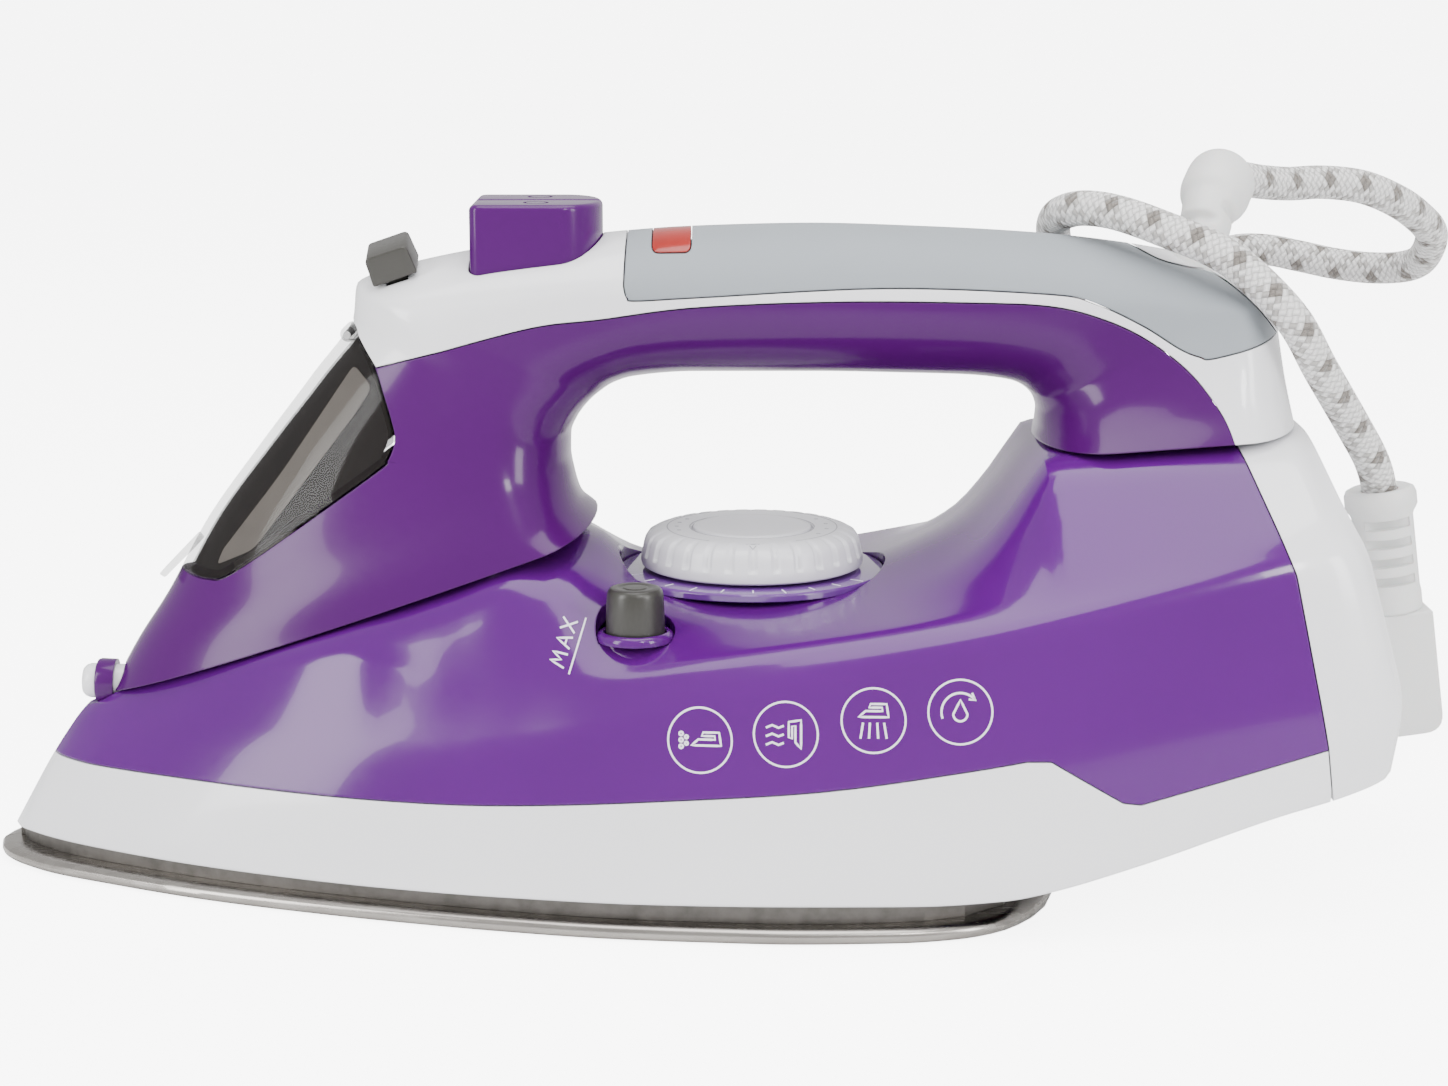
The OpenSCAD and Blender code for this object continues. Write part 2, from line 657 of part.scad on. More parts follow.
// A return spring is drawn as its outer sleeve: a closed-coil helix between barrel and button
module return_spring(side) {
    translate([pump_x, side * pump_y, 110]) difference() {
        cylinder(10, d = 6.4);
        translate([0, 0, -1]) cylinder(12, d = 4.6);
    }
}
module spray_spring() {
    color(steel) return_spring(-1);
}
module steam_spring() {
    color(steel) return_spring(1);
}
module hose(side, run) {
    start = [pump_x, side * pump_y, 0];
    color([0.85, 0.85, 0.85])
        tube(concat([start + [0, 0, 90], start + [0, 0, 84.5], start + [-0.4, 0, 79]], run), 4, 2);
}
module spray_hose() {
    hose(-1, [[-37, -9, 74], [-48, -11, 68.5], [-64, -13.5, 61], [-80, -15.5, 55], [-92, -11, 50], [-101, -5, 46]]);
}
module steam_hose() {
    hose(1, [[-36.5, 10, 73.5], [-41, 12, 69], [-42.5, 12.4, 66]]);
}

// ---- steam control ----
module steam_lever() {
    color(dark_grey) lever_frame() rotate([lever_rest, 0, 0]) difference() {
        union() {
            translate([-4.7, -5.8, lever_reach + 0.4]) cube([9.4, 11.6, 6]);
            translate([-2, -3, 0]) cube([4, 6, lever_reach + 1]);
            rotate([0, 90, 0]) cylinder(4, r = 4, center = true);
        }
        rotate([0, 90, 0]) cylinder(12, r = 1.55, center = true);
    }
}
module lever_pivot() {
    color(steel) lever_frame() rotate([0, 90, 0]) cylinder(12, r = 1.5, center = true);
}
// Frame inside the handle that carries the pumps and the lever's pivot
module control_frame() {
    color([0.85, 0.85, 0.83]) difference() {
        union() {
            translate([-42, -14, 84]) cube([13.9, 28, 5.8]);
            lever_frame() for (x = [-5.6, 2.4]) translate([x, -3.5, -8]) cube([3.2, 7, 11.5]);
            translate([-50, -3, 84]) cube([9, 6, 2]);
        }
        lever_frame() rotate([0, 90, 0]) cylinder(14, r = 1.52, center = true);
        translate([valve_x, 0, 80]) cylinder(14, d = 3.6);
        for (side = [-1, 1]) translate([pump_x, side * pump_y, 80]) cylinder(20, d = 5.4);
    }
}
rod_low = 24.6;
module steam_valve_rod() {
    color(steel) {
        translate([valve_x, 0, rod_low]) cylinder(62.6, d = 3);
        translate([valve_x, 0, rod_low - 2]) cylinder(2.01, d1 = 1.4, d2 = 3);
    }
}
module steam_valve_seat() {
    color(rubber) translate([valve_x, 0, 16.2]) difference() {
        cylinder(7, d = 9.6);
        translate([0, 0, -1]) cylinder(9, d = 2);
    }
}

// ---- self-clean button ----
module self_clean_button() {
    color(dark_grey) translate([clean_at[0], clean_at[1], 0]) {
        translate([0, 0, 55]) cylinder(9.6, d = 11.6);
        translate([0, 0, 32]) cylinder(23.01, d = 4);
    }
}
module self_clean_plug() {
    color(rubber) translate([clean_at[0], clean_at[1], 28]) cylinder(4, d = 4.4);
}
module self_clean_collar() {
    color(purple) translate([clean_at[0], clean_at[1], 0]) difference() {
        translate([0, 0, 54]) cylinder(3.2, d = 15.4);
        translate([0, 0, 53]) cylinder(6, d = 12.2);
    }
}

// ---- temperature dial ----
module dial_frame() {
    translate([dial_x, 0, 0]) children();
}
module scale_ring() {
    color([0.55, 0.35, 0.75], 0.6) dial_frame() difference() {
        translate([0, 0, ring_seat]) cylinder(1.8, d = ring_d);
        translate([0, 0, ring_seat - 1]) cylinder(6, d = 14);
    }
}
dial_low = 61.8;
dial_top = 69.6;
module temperature_dial() {
    color(white) dial_frame() difference() {
        translate([0, 0, dial_low]) cylinder(dial_top - dial_low, d = dial_d);
        translate([0, 0, dial_low - 1]) cylinder(dial_top - dial_low - 1.6, d = dial_d - 7);
        translate([0, 0, dial_top - 0.6]) cylinder(2, d = 25);
        for (k = [0 : 35]) rotate([0, 0, 10 * k]) translate([dial_d / 2 + 0.5, 0, dial_low + 1.4])
            cylinder(12, d = 2.4, $fn = 16);
        translate([0, 0, dial_low - 1]) cylinder(12, d = 5.98);
    }
}
module dial_cap() {
    color([0.9, 0.9, 0.92]) dial_frame() translate([0, 0, dial_top - 0.6]) cylinder(0.9, d = 24.6);
}
module dial_shaft() {
    color(white) dial_frame() {
        translate([0, 0, 20]) cylinder(8, d = 4);
        translate([0, 0, 28]) cylinder(dial_top - 0.6 - 28, d = 5.98);
    }
}

// ---- pilot light ----
LENS_OUTLINE = [
    [-4.1, 140], [-4.1, 128.4], [-3.3, 127.6], [2.7, 127.7], [3.5, 128.5], [3.5, 140]
];
module pilot_light_lens() {
    color([0.85, 0.2, 0.08]) intersection() {
        handle_skin();
        side_prism(LENS_OUTLINE);
    }
}
module pilot_lamp() {
    color([1, 0.6, 0.3]) translate([-6, 0, 123]) rotate([0, 90, 0]) cylinder(12, d = 5);
}

// ---- mains ----
module terminal_block() {
    color([0.9, 0.9, 0.85]) difference() {
        translate([125.4, -14, 45]) cube([10, 28, 9]);
        for (i = [-1, 0, 1]) translate([130.4, 9 * i, 48]) cylinder(10, d = 4.2);
    }
}
module power_wires() {
    color([0.75, 0.25, 0.2]) for (side = [-1, 1])
        tube([[130.4, side * 9, 54.6], [127, side * 7, 68], [118.4, side * 4, 86], [116, side * 3, 96], [105, side * 2.2, 108]], 2.6, 2);
    color([0.3, 0.3, 0.6]) for (side = [-1, 1])
        tube([
            [130.4, side * 9, 44.4], [126, side * 15.6, 32.4], [108, side * 27, 25.4], [88, side * 29, 21.6],
            [66, side * 29, 24], [57, side * 29, 24.4], [55, side * 29, 22.6]
        ], 2.6, 2);
}
module cord_clamp() {
    color([0.9, 0.9, 0.88]) translate([104.5, 0, 108.5]) difference() {
        translate([-8, -11, 0]) cube([16, 22, 5]);
        cylinder(12, d = 7.3, center = true);
        for (side = [-1, 1]) translate([0, side * 8, -1]) cylinder(8, d = 2.4);
    }
}
module cover_screws() {
    color(steel) screw_frames() {
        cylinder(2.2, d = 6.4);
        translate([0, 0, -10]) cylinder(10.01, d = 3.2);
    }
}

// ---- cord guard, a soft boot that bends back and away from the dial side ----
GUARD = [
    [103.8, -2, 117.5], [105.4, -1.6, 122], [106.8, -0.2, 127], [108.4, 3, 131.8], [110.4, 7.4, 136],
    [112.4, 12, 139], [113.2, 13.8, 139.7]
];
GUARD_WIDTH = [[0, 14.6], [1, 14.8], [1.6, 11.4], [3, 10.8], [4, 12], [4.6, 14.4], [5.6, 14.4], [6, 11]];
module guard_seat() {
    translate([105.3, -1, 122]) rotate([-11, 17, 0]) cylinder(24, r = 8, center = true);
}
module cord_guard() {
    color(guard_white) horn(GUARD, GUARD_WIDTH, 3, 24);
}

// ---- cord ----
// Free runs: round numbers, smooth curve through them
RISE = [
    [113.2, 13.8, 139.7], [117, 18.6, 140], [123, 24, 138.8], [130, 29, 138], [138, 33, 138],
    [147, 37, 136.8], [155, 42, 133.8], [162, 49, 129.8], [167.6, 57, 124.8], [168.4, 66, 118.8],
    [166, 71.4, 116], [159.6, 76, 115], [151.5, 79, 115.6], [143, 80, 117.3], [135, 80, 118.8],
    [127, 79, 118.6], [118.5, 78, 115], [111, 77, 107.5], [106, 76.5, 97], [103.5, 77, 84],
    [102.5, 79, 70], [102.5, 82, 56], [103.5, 87, 41], [105.6, 95, 28], [107.6, 106, 18.5],
    [109.2, 118, 12.8], [109, 132.4, 10.9]
];
DROP = [
    [71.5, 96.6, 3.7], [81, 96.6, 4.6], [89.4, 93, 10], [93.6, 86, 20], [94.6, 77.5, 34],
    [93.6, 68, 56], [91.6, 58, 79], [88.4, 46, 100], [83, 32, 118], [79, 17.4, 130],
    [81, 3, 134.8], [88, -5, 135.2], [98, -12, 132.2], [110.4, -17, 126.8], [122, -19.8, 116],
    [129.6, -15, 104.4], [138, -8, 92], [143, -4, 84], [145.6, -1, 77]
];
coil_at = [66, 140, 0];
coil_mid = 40;
module cord_rise() {
    color(cord_white) tube(RISE, cord_d, 1);
}
module cord_drop() {
    color(cord_white) tube(DROP, cord_d, 1);
}
module cord_coil() {
    color(cord_white) translate(coil_at) rotate_extrude() translate([coil_mid - 7.4, 0]) square([14.8, 14.6]);
}
module cord_tie() {
    color(rubber) translate([coil_at[0] + coil_mid, coil_at[1], 0]) difference() {
        translate([-8.6, -4, 0.2]) cube([17.2, 8, 16]);
        translate([-7.6, -5, -1]) cube([15.2, 10, 15.8]);
    }
}

// ---- plug, hanging behind the rear cover ----
plug_top = [145.6, -1, 77];
plug_lean = 172;
module plug_frame() {
    translate(plug_top) rotate([0, plug_lean, 0]) children();
}
module plug_relief() {
    color(guard_white) plug_frame() difference() {
        translate([0, 0, 0]) rotate_extrude() polygon([
            [3.65, -0.5], [7, -1], [7.4, 3], [6.4, 6], [6.4, 25], [3.65, 25]
        ]);
        for (i = [0 : 3], side = [-1, 1])
            translate([0, side * 7, 5.6 + 4 * i]) cube([9, 5.2, 1.5], center = true);
    }
}
module plug_body() {
    color(guard_white) plug_frame() translate([0, 0, 25]) {
        translate([-7.4, -6, 0]) cube([14.8, 24, 26]);
    }
}
module plug_pins() {
    color(steel) plug_frame() for (z = [28.5, 47.5]) translate([0, 18, z]) rotate([-90, 0, 0]) cylinder(19, d = 4.8);
}

soleplate();
heater_casting();
heating_element();
chamber_gasket();
steam_chamber_cover();
thermostat();
thermal_fuse();
skirt();
heel_plate();
water_tank();
rear_cover();
handle_shell();
top_cover();
soft_grip();
fill_lid();
lid_hinge_pin();
fill_funnel();
spray_nozzle();
nozzle_collar();
spray_button();
steam_button();
spray_spring();
steam_spring();
spray_piston();
steam_piston();
spray_pump();
steam_pump();
spray_hose();
steam_hose();
steam_lever();
lever_pivot();
control_frame();
steam_valve_rod();
steam_valve_seat();
self_clean_button();
self_clean_plug();
self_clean_collar();
temperature_dial();
dial_cap();
dial_shaft();
scale_ring();
pilot_light_lens();
pilot_lamp();
terminal_block();
power_wires();
cord_clamp();
cover_screws();
chamber_screws();
cord_guard();
cord_rise();
cord_coil();
cord_tie();
cord_drop();
plug_relief();
plug_body();
plug_pins();
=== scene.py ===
import json
import math

import bmesh
import bpy
import numpy as np
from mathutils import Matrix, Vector
from mathutils.bvhtree import BVHTree


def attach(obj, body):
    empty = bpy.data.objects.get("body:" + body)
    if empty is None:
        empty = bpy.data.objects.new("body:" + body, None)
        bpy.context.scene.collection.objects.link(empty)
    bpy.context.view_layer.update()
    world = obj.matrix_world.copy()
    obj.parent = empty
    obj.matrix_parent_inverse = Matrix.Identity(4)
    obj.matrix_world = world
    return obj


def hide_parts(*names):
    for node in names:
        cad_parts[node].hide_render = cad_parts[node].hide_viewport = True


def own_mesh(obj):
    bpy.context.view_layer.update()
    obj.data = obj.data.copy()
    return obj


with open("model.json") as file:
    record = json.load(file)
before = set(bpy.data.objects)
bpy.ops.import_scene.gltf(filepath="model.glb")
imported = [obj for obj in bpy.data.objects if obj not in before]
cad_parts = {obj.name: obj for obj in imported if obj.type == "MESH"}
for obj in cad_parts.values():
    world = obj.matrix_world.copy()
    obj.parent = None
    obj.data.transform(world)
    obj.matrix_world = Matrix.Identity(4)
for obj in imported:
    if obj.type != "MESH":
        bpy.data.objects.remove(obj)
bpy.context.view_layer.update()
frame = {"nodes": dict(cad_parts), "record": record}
MM = 0.001

# ---------------------------------------------------------------- camera
CAMERA_PLACE = (0.0102, -0.600, 0.188)
CAMERA_TILT = 78.51
LENS = 73.34


def make_camera():
    data = bpy.data.cameras.new("camera")
    data.sensor_width = 36
    data.lens = LENS
    data.clip_start = 0.01
    camera = bpy.data.objects.new("camera", data)
    camera.location = CAMERA_PLACE
    camera.rotation_euler = (math.radians(CAMERA_TILT), 0, 0)
    bpy.context.scene.collection.objects.link(camera)
    bpy.context.scene.camera = camera


make_camera()


# ---------------------------------------------------------------- node materials
class Nodes:
    """A material's node tree, built one node at a time."""

    def __init__(self, name):
        self.material = bpy.data.materials.new(name)
        self.material.use_nodes = True
        self.tree = self.material.node_tree
        self.shader = self.tree.nodes["Principled BSDF"]

    def set(self, **values):
        for key, value in values.items():
            self.shader.inputs[key.replace("_", " ")].default_value = value

    def add(self, kind, **settings):
        node = self.tree.nodes.new(kind)
        for key, value in settings.items():
            setattr(node, key, value)
        return node

    def link(self, source, target):
        self.tree.links.new(source, target)

    def noise(self, scale, detail=3.0, stretch=None):
        place = self.add("ShaderNodeTexCoord").outputs["Object"]
        if stretch:
            mapping = self.add("ShaderNodeMapping")
            mapping.inputs["Scale"].default_value = stretch
            self.link(place, mapping.inputs["Vector"])
            place = mapping.outputs["Vector"]
        noise = self.add("ShaderNodeTexNoise")
        noise.inputs["Scale"].default_value = scale
        noise.inputs["Detail"].default_value = detail
        self.link(place, noise.inputs["Vector"])
        return noise.outputs["Fac"]

    def ramp(self, factor, stops):
        ramp = self.add("ShaderNodeValToRGB")
        while len(ramp.color_ramp.elements) < len(stops):
            ramp.color_ramp.elements.new(0.5)
        for element, (place, colour) in zip(ramp.color_ramp.elements, stops):
            element.position = place
            element.color = (*colour, 1)
        self.link(factor, ramp.inputs["Fac"])
        return ramp.outputs["Color"]

    def spread(self, factor, low, high):
        span = self.add("ShaderNodeMapRange")
        span.inputs["To Min"].default_value = low
        span.inputs["To Max"].default_value = high
        self.link(factor, span.inputs["Value"])
        return span.outputs["Result"]

    def math(self, operation, a, b=None):
        node = self.add("ShaderNodeMath", operation=operation)
        for socket, value in zip(node.inputs, (a, b)):
            if isinstance(value, (int, float)):
                socket.default_value = value
            elif value is not None:
                self.link(value, socket)
        return node.outputs[0]

    def skin(self, drift, colour, second, fine, low, high):
        """Colour between two colours by one noise, roughness between two values by another."""
        self.link(self.ramp(drift, [(0.3, colour), (0.7, second)]), self.shader.inputs["Base Color"])
        self.link(self.spread(fine, low, high), self.shader.inputs["Roughness"])

    def normal(self, height=None, strength=0.1, distance=0.0002, edge=0.0):
        """Bump from height over a slightly rounded edge."""
        before = None
        if edge:
            bevel = self.add("ShaderNodeBevel", samples=6)
            bevel.inputs["Radius"].default_value = edge
            before = bevel.outputs["Normal"]
        if height is not None:
            bump = self.add("ShaderNodeBump")
            bump.inputs["Strength"].default_value = strength
            bump.inputs["Distance"].default_value = distance
            self.link(height, bump.inputs["Height"])
            if before is not None:
                self.link(before, bump.inputs["Normal"])
            before = bump.outputs["Normal"]
        self.link(before, self.shader.inputs["Normal"])


def plastic(name, colour, second, roughness, texture=900.0, bump=0.03, edge=0.0004, **values):
    """Moulded plastic: a faint colour drift, a fine skin and slightly uneven gloss."""
    n = Nodes(name)
    n.set(**values)
    fine = n.noise(texture, 4.0)
    n.skin(n.noise(14.0, 2.0), colour, second, fine, roughness * 0.8, roughness * 1.25)
    n.normal(fine, bump, 0.0001, edge)
    return n.material


def gloss_purple():
    return plastic("purple_gloss", (0.052, 0.0006, 0.085), (0.062, 0.001, 0.10), 0.2, 500.0, 0.012,
                   Coat_Weight=0.15, Coat_Roughness=0.05, IOR=1.5, Specular_IOR_Level=0.22)


def tank_purple():
    n = Nodes("tank_translucent")
    n.set(Coat_Weight=0.25, Coat_Roughness=0.03, IOR=1.5, Specular_IOR_Level=0.3, Subsurface_Weight=0.2,
          Subsurface_Scale=0.004, Subsurface_Radius=(0.5, 0.2, 1.0))
    fine = n.noise(600.0, 3.0)
    n.skin(n.noise(11.0, 2.0), (0.070, 0.0016, 0.13), (0.084, 0.0022, 0.155), fine, 0.12, 0.2)
    n.normal(fine, 0.01, 0.0001, 0.0005)
    return n.material


def gloss_white():
    return plastic("white_gloss", (0.80, 0.80, 0.825), (0.84, 0.84, 0.86), 0.22, 700.0, 0.015,
                   Coat_Weight=0.4, Coat_Roughness=0.06, IOR=1.48)


def dial_white():
    return plastic("dial_white", (0.74, 0.74, 0.77), (0.79, 0.79, 0.82), 0.3, 800.0, 0.02,
                   Coat_Weight=0.2, Coat_Roughness=0.15)


def soft_grey():
    n = Nodes("grip_soft_touch")
    n.set(Sheen_Weight=0.12, Sheen_Roughness=0.5)
    grain = n.noise(2200.0, 5.0)
    n.skin(n.noise(20.0, 3.0), (0.245, 0.27, 0.295), (0.27, 0.295, 0.32), grain, 0.5, 0.68)
    n.normal(grain, 0.14, 0.0001, 0.0005)
    return n.material


def smoke():
    n = Nodes("smoke_clear")
    n.set(Alpha=0.42, IOR=1.4, Coat_Weight=0.1, Coat_Roughness=0.03, Specular_IOR_Level=0.3)
    n.skin(n.noise(16.0, 2.0), (0.012, 0.010, 0.010), (0.018, 0.015, 0.014), n.noise(40.0), 0.055, 0.065)
    n.normal(None, edge=0.0003)
    return n.material


def dark_satin():
    return plastic("dark_satin", (0.026, 0.025, 0.021), (0.036, 0.034, 0.029), 0.33, 1500.0, 0.05)


def red_lens():
    n = Nodes("red_lens")
    n.set(Transmission_Weight=0.1, IOR=1.5, Coat_Weight=0.2, Coat_Roughness=0.05, Specular_IOR_Level=0.3,
          Emission_Color=(0.9, 0.05, 0.01, 1), Emission_Strength=0.02)
    n.skin(n.noise(160.0), (0.30, 0.006, 0.002), (0.38, 0.010, 0.003), n.noise(400.0), 0.1, 0.2)
    n.normal(None, edge=0.0004)
    return n.material


def metal(name, colour, second, roughness, stretch=(1, 1, 1), scale=400.0, bump=0.03, edge=0.0003):
    n = Nodes(name)
    n.set(Metallic=1.0)
    grain = n.noise(scale, 4.0, stretch)
    n.skin(grain, colour, second, grain, roughness * 0.75, roughness * 1.3)
    n.normal(grain, bump, 0.0001, edge)
    return n.material


def rubber(name, colour, second, roughness=0.6):
    return plastic(name, colour, second, roughness, 1200.0, 0.1)


def boot_white():
    return plastic("cord_boot", (0.70, 0.70, 0.69), (0.75, 0.75, 0.74), 0.42, 900.0, 0.05,
                   Subsurface_Weight=0.1, Subsurface_Scale=0.002)


CARRIERS = 10         # strands each way round the braid
BRAID_PITCH = 1.5     # millimetres along the lead for one crossing


def braid():
    """Woven sleeve: UV x runs once round the lead and UV y along it, in millimetres."""
    n = Nodes("braid")
    n.set(Sheen_Weight=0.4, Sheen_Roughness=0.4, Roughness=0.62)
    uv = n.add("ShaderNodeSeparateXYZ")
    n.link(n.add("ShaderNodeUVMap", uv_map="braid").outputs["UV"], uv.inputs[0])
    round_ = n.math("MULTIPLY", uv.outputs["X"], float(CARRIERS))
    along = n.math("DIVIDE", uv.outputs["Y"], BRAID_PITCH)
    left = n.math("ADD", round_, along)
    right = n.math("SUBTRACT", round_, along)
    left_ridge = n.math("ABSOLUTE", n.math("SINE", n.math("MULTIPLY", left, math.pi)))
    right_ridge = n.math("ABSOLUTE", n.math("SINE", n.math("MULTIPLY", right, math.pi)))
    parity = n.math("ADD", n.math("FLOOR", left), n.math("FLOOR", right))
    over = n.math("PINGPONG", parity, 1.0)
    height = n.math("ADD", n.math("MULTIPLY", over, left_ridge),
                    n.math("MULTIPLY", n.math("SUBTRACT", 1.0, over), right_ridge))

    def dark(side):
        """Two dark strands in every six."""
        return n.math("LESS_THAN", n.math("FLOORED_MODULO", n.math("FLOOR", side), 6.0), 1.5)

    fleck = n.math("ADD", n.math("MULTIPLY", over, dark(left)),
                   n.math("MULTIPLY", n.math("SUBTRACT", 1.0, over), dark(right)))
    both = n.math("MULTIPLY", dark(left), dark(right))
    mark = n.math("MAXIMUM", n.math("MULTIPLY", fleck, 0.6), both)
    thread = n.noise(4200.0, 3.0)
    mix = n.add("ShaderNodeMix", data_type="RGBA")
    n.link(mark, mix.inputs["Factor"])
    n.link(n.ramp(thread, [(0.3, (0.70, 0.69, 0.67)), (0.7, (0.86, 0.85, 0.84))]), mix.inputs["A"])
    n.link(n.ramp(thread, [(0.3, (0.13, 0.115, 0.10)), (0.7, (0.27, 0.245, 0.22))]), mix.inputs["B"])
    # Painted shade: the weave's colour is multiplied darker where its height is low, in the grooves between
    # strands
    groove_shade = n.add("ShaderNodeMix", data_type="RGBA", blend_type="MULTIPLY")
    groove_shade.inputs["Factor"].default_value = 0.55
    n.link(mix.outputs["Result"], groove_shade.inputs["A"])
    n.link(n.ramp(height, [(0.0, (0.45, 0.43, 0.42)), (0.55, (1, 1, 1))]), groove_shade.inputs["B"])
    n.link(groove_shade.outputs["Result"], n.shader.inputs["Base Color"])
    n.normal(height, 0.9, 0.0005)
    return n.material


def print_white():
    return plastic("print_white", (0.80, 0.78, 0.88), (0.86, 0.84, 0.92), 0.4, 900.0, 0.02, edge=0.0)


def print_grey():
    return plastic("print_grey", (0.30, 0.29, 0.33), (0.36, 0.35, 0.39), 0.4, 900.0, 0.02, edge=0.0)


def scale_clear():
    n = Nodes("scale_clear")
    n.set(Transmission_Weight=0.3, IOR=1.5, Coat_Weight=0.7, Coat_Roughness=0.04)
    n.skin(n.noise(60.0), (0.16, 0.04, 0.30), (0.20, 0.055, 0.36), n.noise(500.0), 0.08, 0.16)
    n.normal(None, edge=0.0004)
    return n.material


def clear(name, colour, second, transmission, roughness):
    n = Nodes(name)
    n.set(Transmission_Weight=transmission, IOR=1.45)
    n.skin(n.noise(90.0), colour, second, n.noise(500.0), roughness * 0.7, roughness * 1.4)
    return n.material


MATERIALS = {
    "purple_gloss": gloss_purple(),
    "tank_plastic": tank_purple(),
    "white_gloss": gloss_white(),
    "white_matt": plastic("white_matt", (0.70, 0.70, 0.71), (0.76, 0.76, 0.77), 0.5),
    "dial_white": dial_white(),
    "grip_rubber": soft_grey(),
    "smoke_clear": smoke(),
    "dark_satin": dark_satin(),
    "red_lens": red_lens(),
    "scale_clear": scale_clear(),
    "cord_boot": boot_white(),
    "braid": braid(),
    "polished_steel": metal("pewter", (0.30, 0.28, 0.26), (0.38, 0.36, 0.335), 0.26, (0.08, 1, 1.4)),
    "cast_metal": metal("casting", (0.10, 0.095, 0.088), (0.16, 0.15, 0.14), 0.45, scale=260.0, bump=0.2),
    "element_sheath": metal("sheath", (0.30, 0.28, 0.25), (0.40, 0.38, 0.35), 0.4),
    "stamped_steel": metal("stamped", (0.55, 0.55, 0.56), (0.68, 0.68, 0.69), 0.3, (0.1, 1, 1)),
    "pin_steel": metal("pin", (0.50, 0.50, 0.50), (0.64, 0.64, 0.64), 0.22),
    "spring_steel": metal("spring", (0.46, 0.46, 0.47), (0.6, 0.6, 0.61), 0.25),
    "fuse_metal": metal("fuse", (0.6, 0.59, 0.56), (0.74, 0.73, 0.7), 0.32),
    "plated_brass": metal("plated", (0.62, 0.60, 0.55), (0.74, 0.72, 0.67), 0.22),
    "ceramic_body": plastic("ceramic", (0.66, 0.62, 0.5), (0.74, 0.7, 0.58), 0.55, 500.0, 0.12),
    "inner_plastic": plastic("inner_plastic", (0.60, 0.585, 0.54), (0.68, 0.665, 0.62), 0.45),
    "dark_rubber": rubber("dark_rubber", (0.02, 0.02, 0.02), (0.035, 0.035, 0.035)),
    "hose_silicone": rubber("silicone", (0.58, 0.58, 0.56), (0.66, 0.66, 0.64), 0.4),
    "wire_cover": rubber("wire_cover", (0.35, 0.05, 0.03), (0.45, 0.07, 0.05), 0.45),
    "lamp_glass": clear("lamp_glass", (0.9, 0.45, 0.25), (1.0, 0.55, 0.3), 0.8, 0.05),
}
# Finishes that differ from their slot's own material: the prints, the lid band, and a near-black sheet inside
# the lid that is painted shade
PRINT_AND_SHADE = {
    "white": print_white(),
    "grey": print_grey(),
    # painted shade: near-black sheet standing in for the shade in the hollow behind the see-through lid
    "shade_sheet": plastic("lid_shade_sheet", (0.006, 0.005, 0.005), (0.010, 0.008, 0.008), 0.6, 90.0, 0.0, 0.0),
    "band": plastic("lid_band", (0.60, 0.54, 0.48), (0.68, 0.62, 0.55), 0.5, 90.0, 0.0, 0.0),
}
SLOT_OF = {part["node"]: part["material_slot"] for part in frame["record"]["subparts"]}
BODY_OF = {name: body for body, names in frame["record"]["behaviour"]["bodies"].items() for name in names}


# ---------------------------------------------------------------- meshes
def new_object(name, points, faces):
    """An object from points in millimetres."""
    mesh = bpy.data.meshes.new(name)
    mesh.from_pydata([tuple(MM * float(c) for c in p) for p in points], [], [tuple(f) for f in faces])
    mesh.update()
    obj = bpy.data.objects.new(name, mesh)
    bpy.context.scene.collection.objects.link(obj)
    return obj


def tidy_normals(obj):
    bm = bmesh.new()
    bm.from_mesh(obj.data)
    bmesh.ops.recalc_face_normals(bm, faces=bm.faces)
    bm.to_mesh(obj.data)
    bm.free()
    return obj


def loft(name, rings, closed=False, strips=()):
    """Body through rings of points. Closed joins the last ring to the first; strips are an end's faces."""
    n = len(rings[0])
    m = len(rings)
    points = [p for ring in rings for p in ring]
    faces = []
    for i in range(m if closed else m - 1):
        a, b = i * n, ((i + 1) % m) * n
        faces += [(a + k, a + (k + 1) % n, b + (k + 1) % n, b + k) for k in range(n)]
    if not closed:
        for face in strips or [tuple(range(n))]:
            faces += [face[::-1], tuple((m - 1) * n + k for k in face)]
    return tidy_normals(new_object(name, points, faces))


def prism(name, outline, half=80.0, middle=0.0):
    """Prism along Y over an outline in the side view, [x, z]."""
    rings = [[(x, middle + side * half, z) for x, z in outline] for side in (-1, 1)]
    return loft(name, rings)


def lathe(name, profile, turns=96, place=(0, 0, 0)):
    """Body of revolution about Z; the profile is a closed loop of [radius, z]."""
    rings = []
    for i in range(turns):
        c, s = math.cos(2 * math.pi * i / turns), math.sin(2 * math.pi * i / turns)
        rings.append([(place[0] + r * c, place[1] + r * s, place[2] + z) for r, z in profile])
    return loft(name, rings, closed=True)


def applied(obj):
    """The object with its modifiers worked into its mesh."""
    graph = bpy.context.evaluated_depsgraph_get()
    mesh = bpy.data.meshes.new_from_object(obj.evaluated_get(graph))
    obj.modifiers.clear()
    obj.data = mesh
    return obj


def cut(obj, other, operation="DIFFERENCE"):
    """Boolean of two closed meshes; the other one is used up."""
    modifier = obj.modifiers.new("cut", "BOOLEAN")
    modifier.operation = operation
    modifier.solver = "MANIFOLD"
    modifier.object = other
    applied(obj)
    bpy.data.objects.remove(other)
    return obj


def placed(obj, place):
    """The mesh with each of its points, in millimetres, put where place says."""
    for v in obj.data.vertices:
        v.co = Vector(place(*(c / MM for c in v.co))) * MM
    return obj


def copy(obj, name):
    twin = obj.copy()
    twin.data = obj.data.copy()
    twin.name = name
    bpy.context.scene.collection.objects.link(twin)
    return twin


def bevel(obj, width, segments=3, angle=35.0):
    modifier = obj.modifiers.new("bevel", "BEVEL")
    modifier.width = width * MM
    modifier.segments = segments
    modifier.limit_method = "ANGLE"
    modifier.angle_limit = math.radians(angle)
    modifier.use_clamp_overlap = True
    return applied(obj)


def dress(obj, slot, angle=32.0, print_and_shade=None):
    obj.data.materials.clear()
    obj.data.materials.append(PRINT_AND_SHADE[print_and_shade] if print_and_shade else MATERIALS[slot])
    obj.data.shade_smooth()
    obj.data.set_sharp_from_angle(angle=math.radians(angle))
    return obj


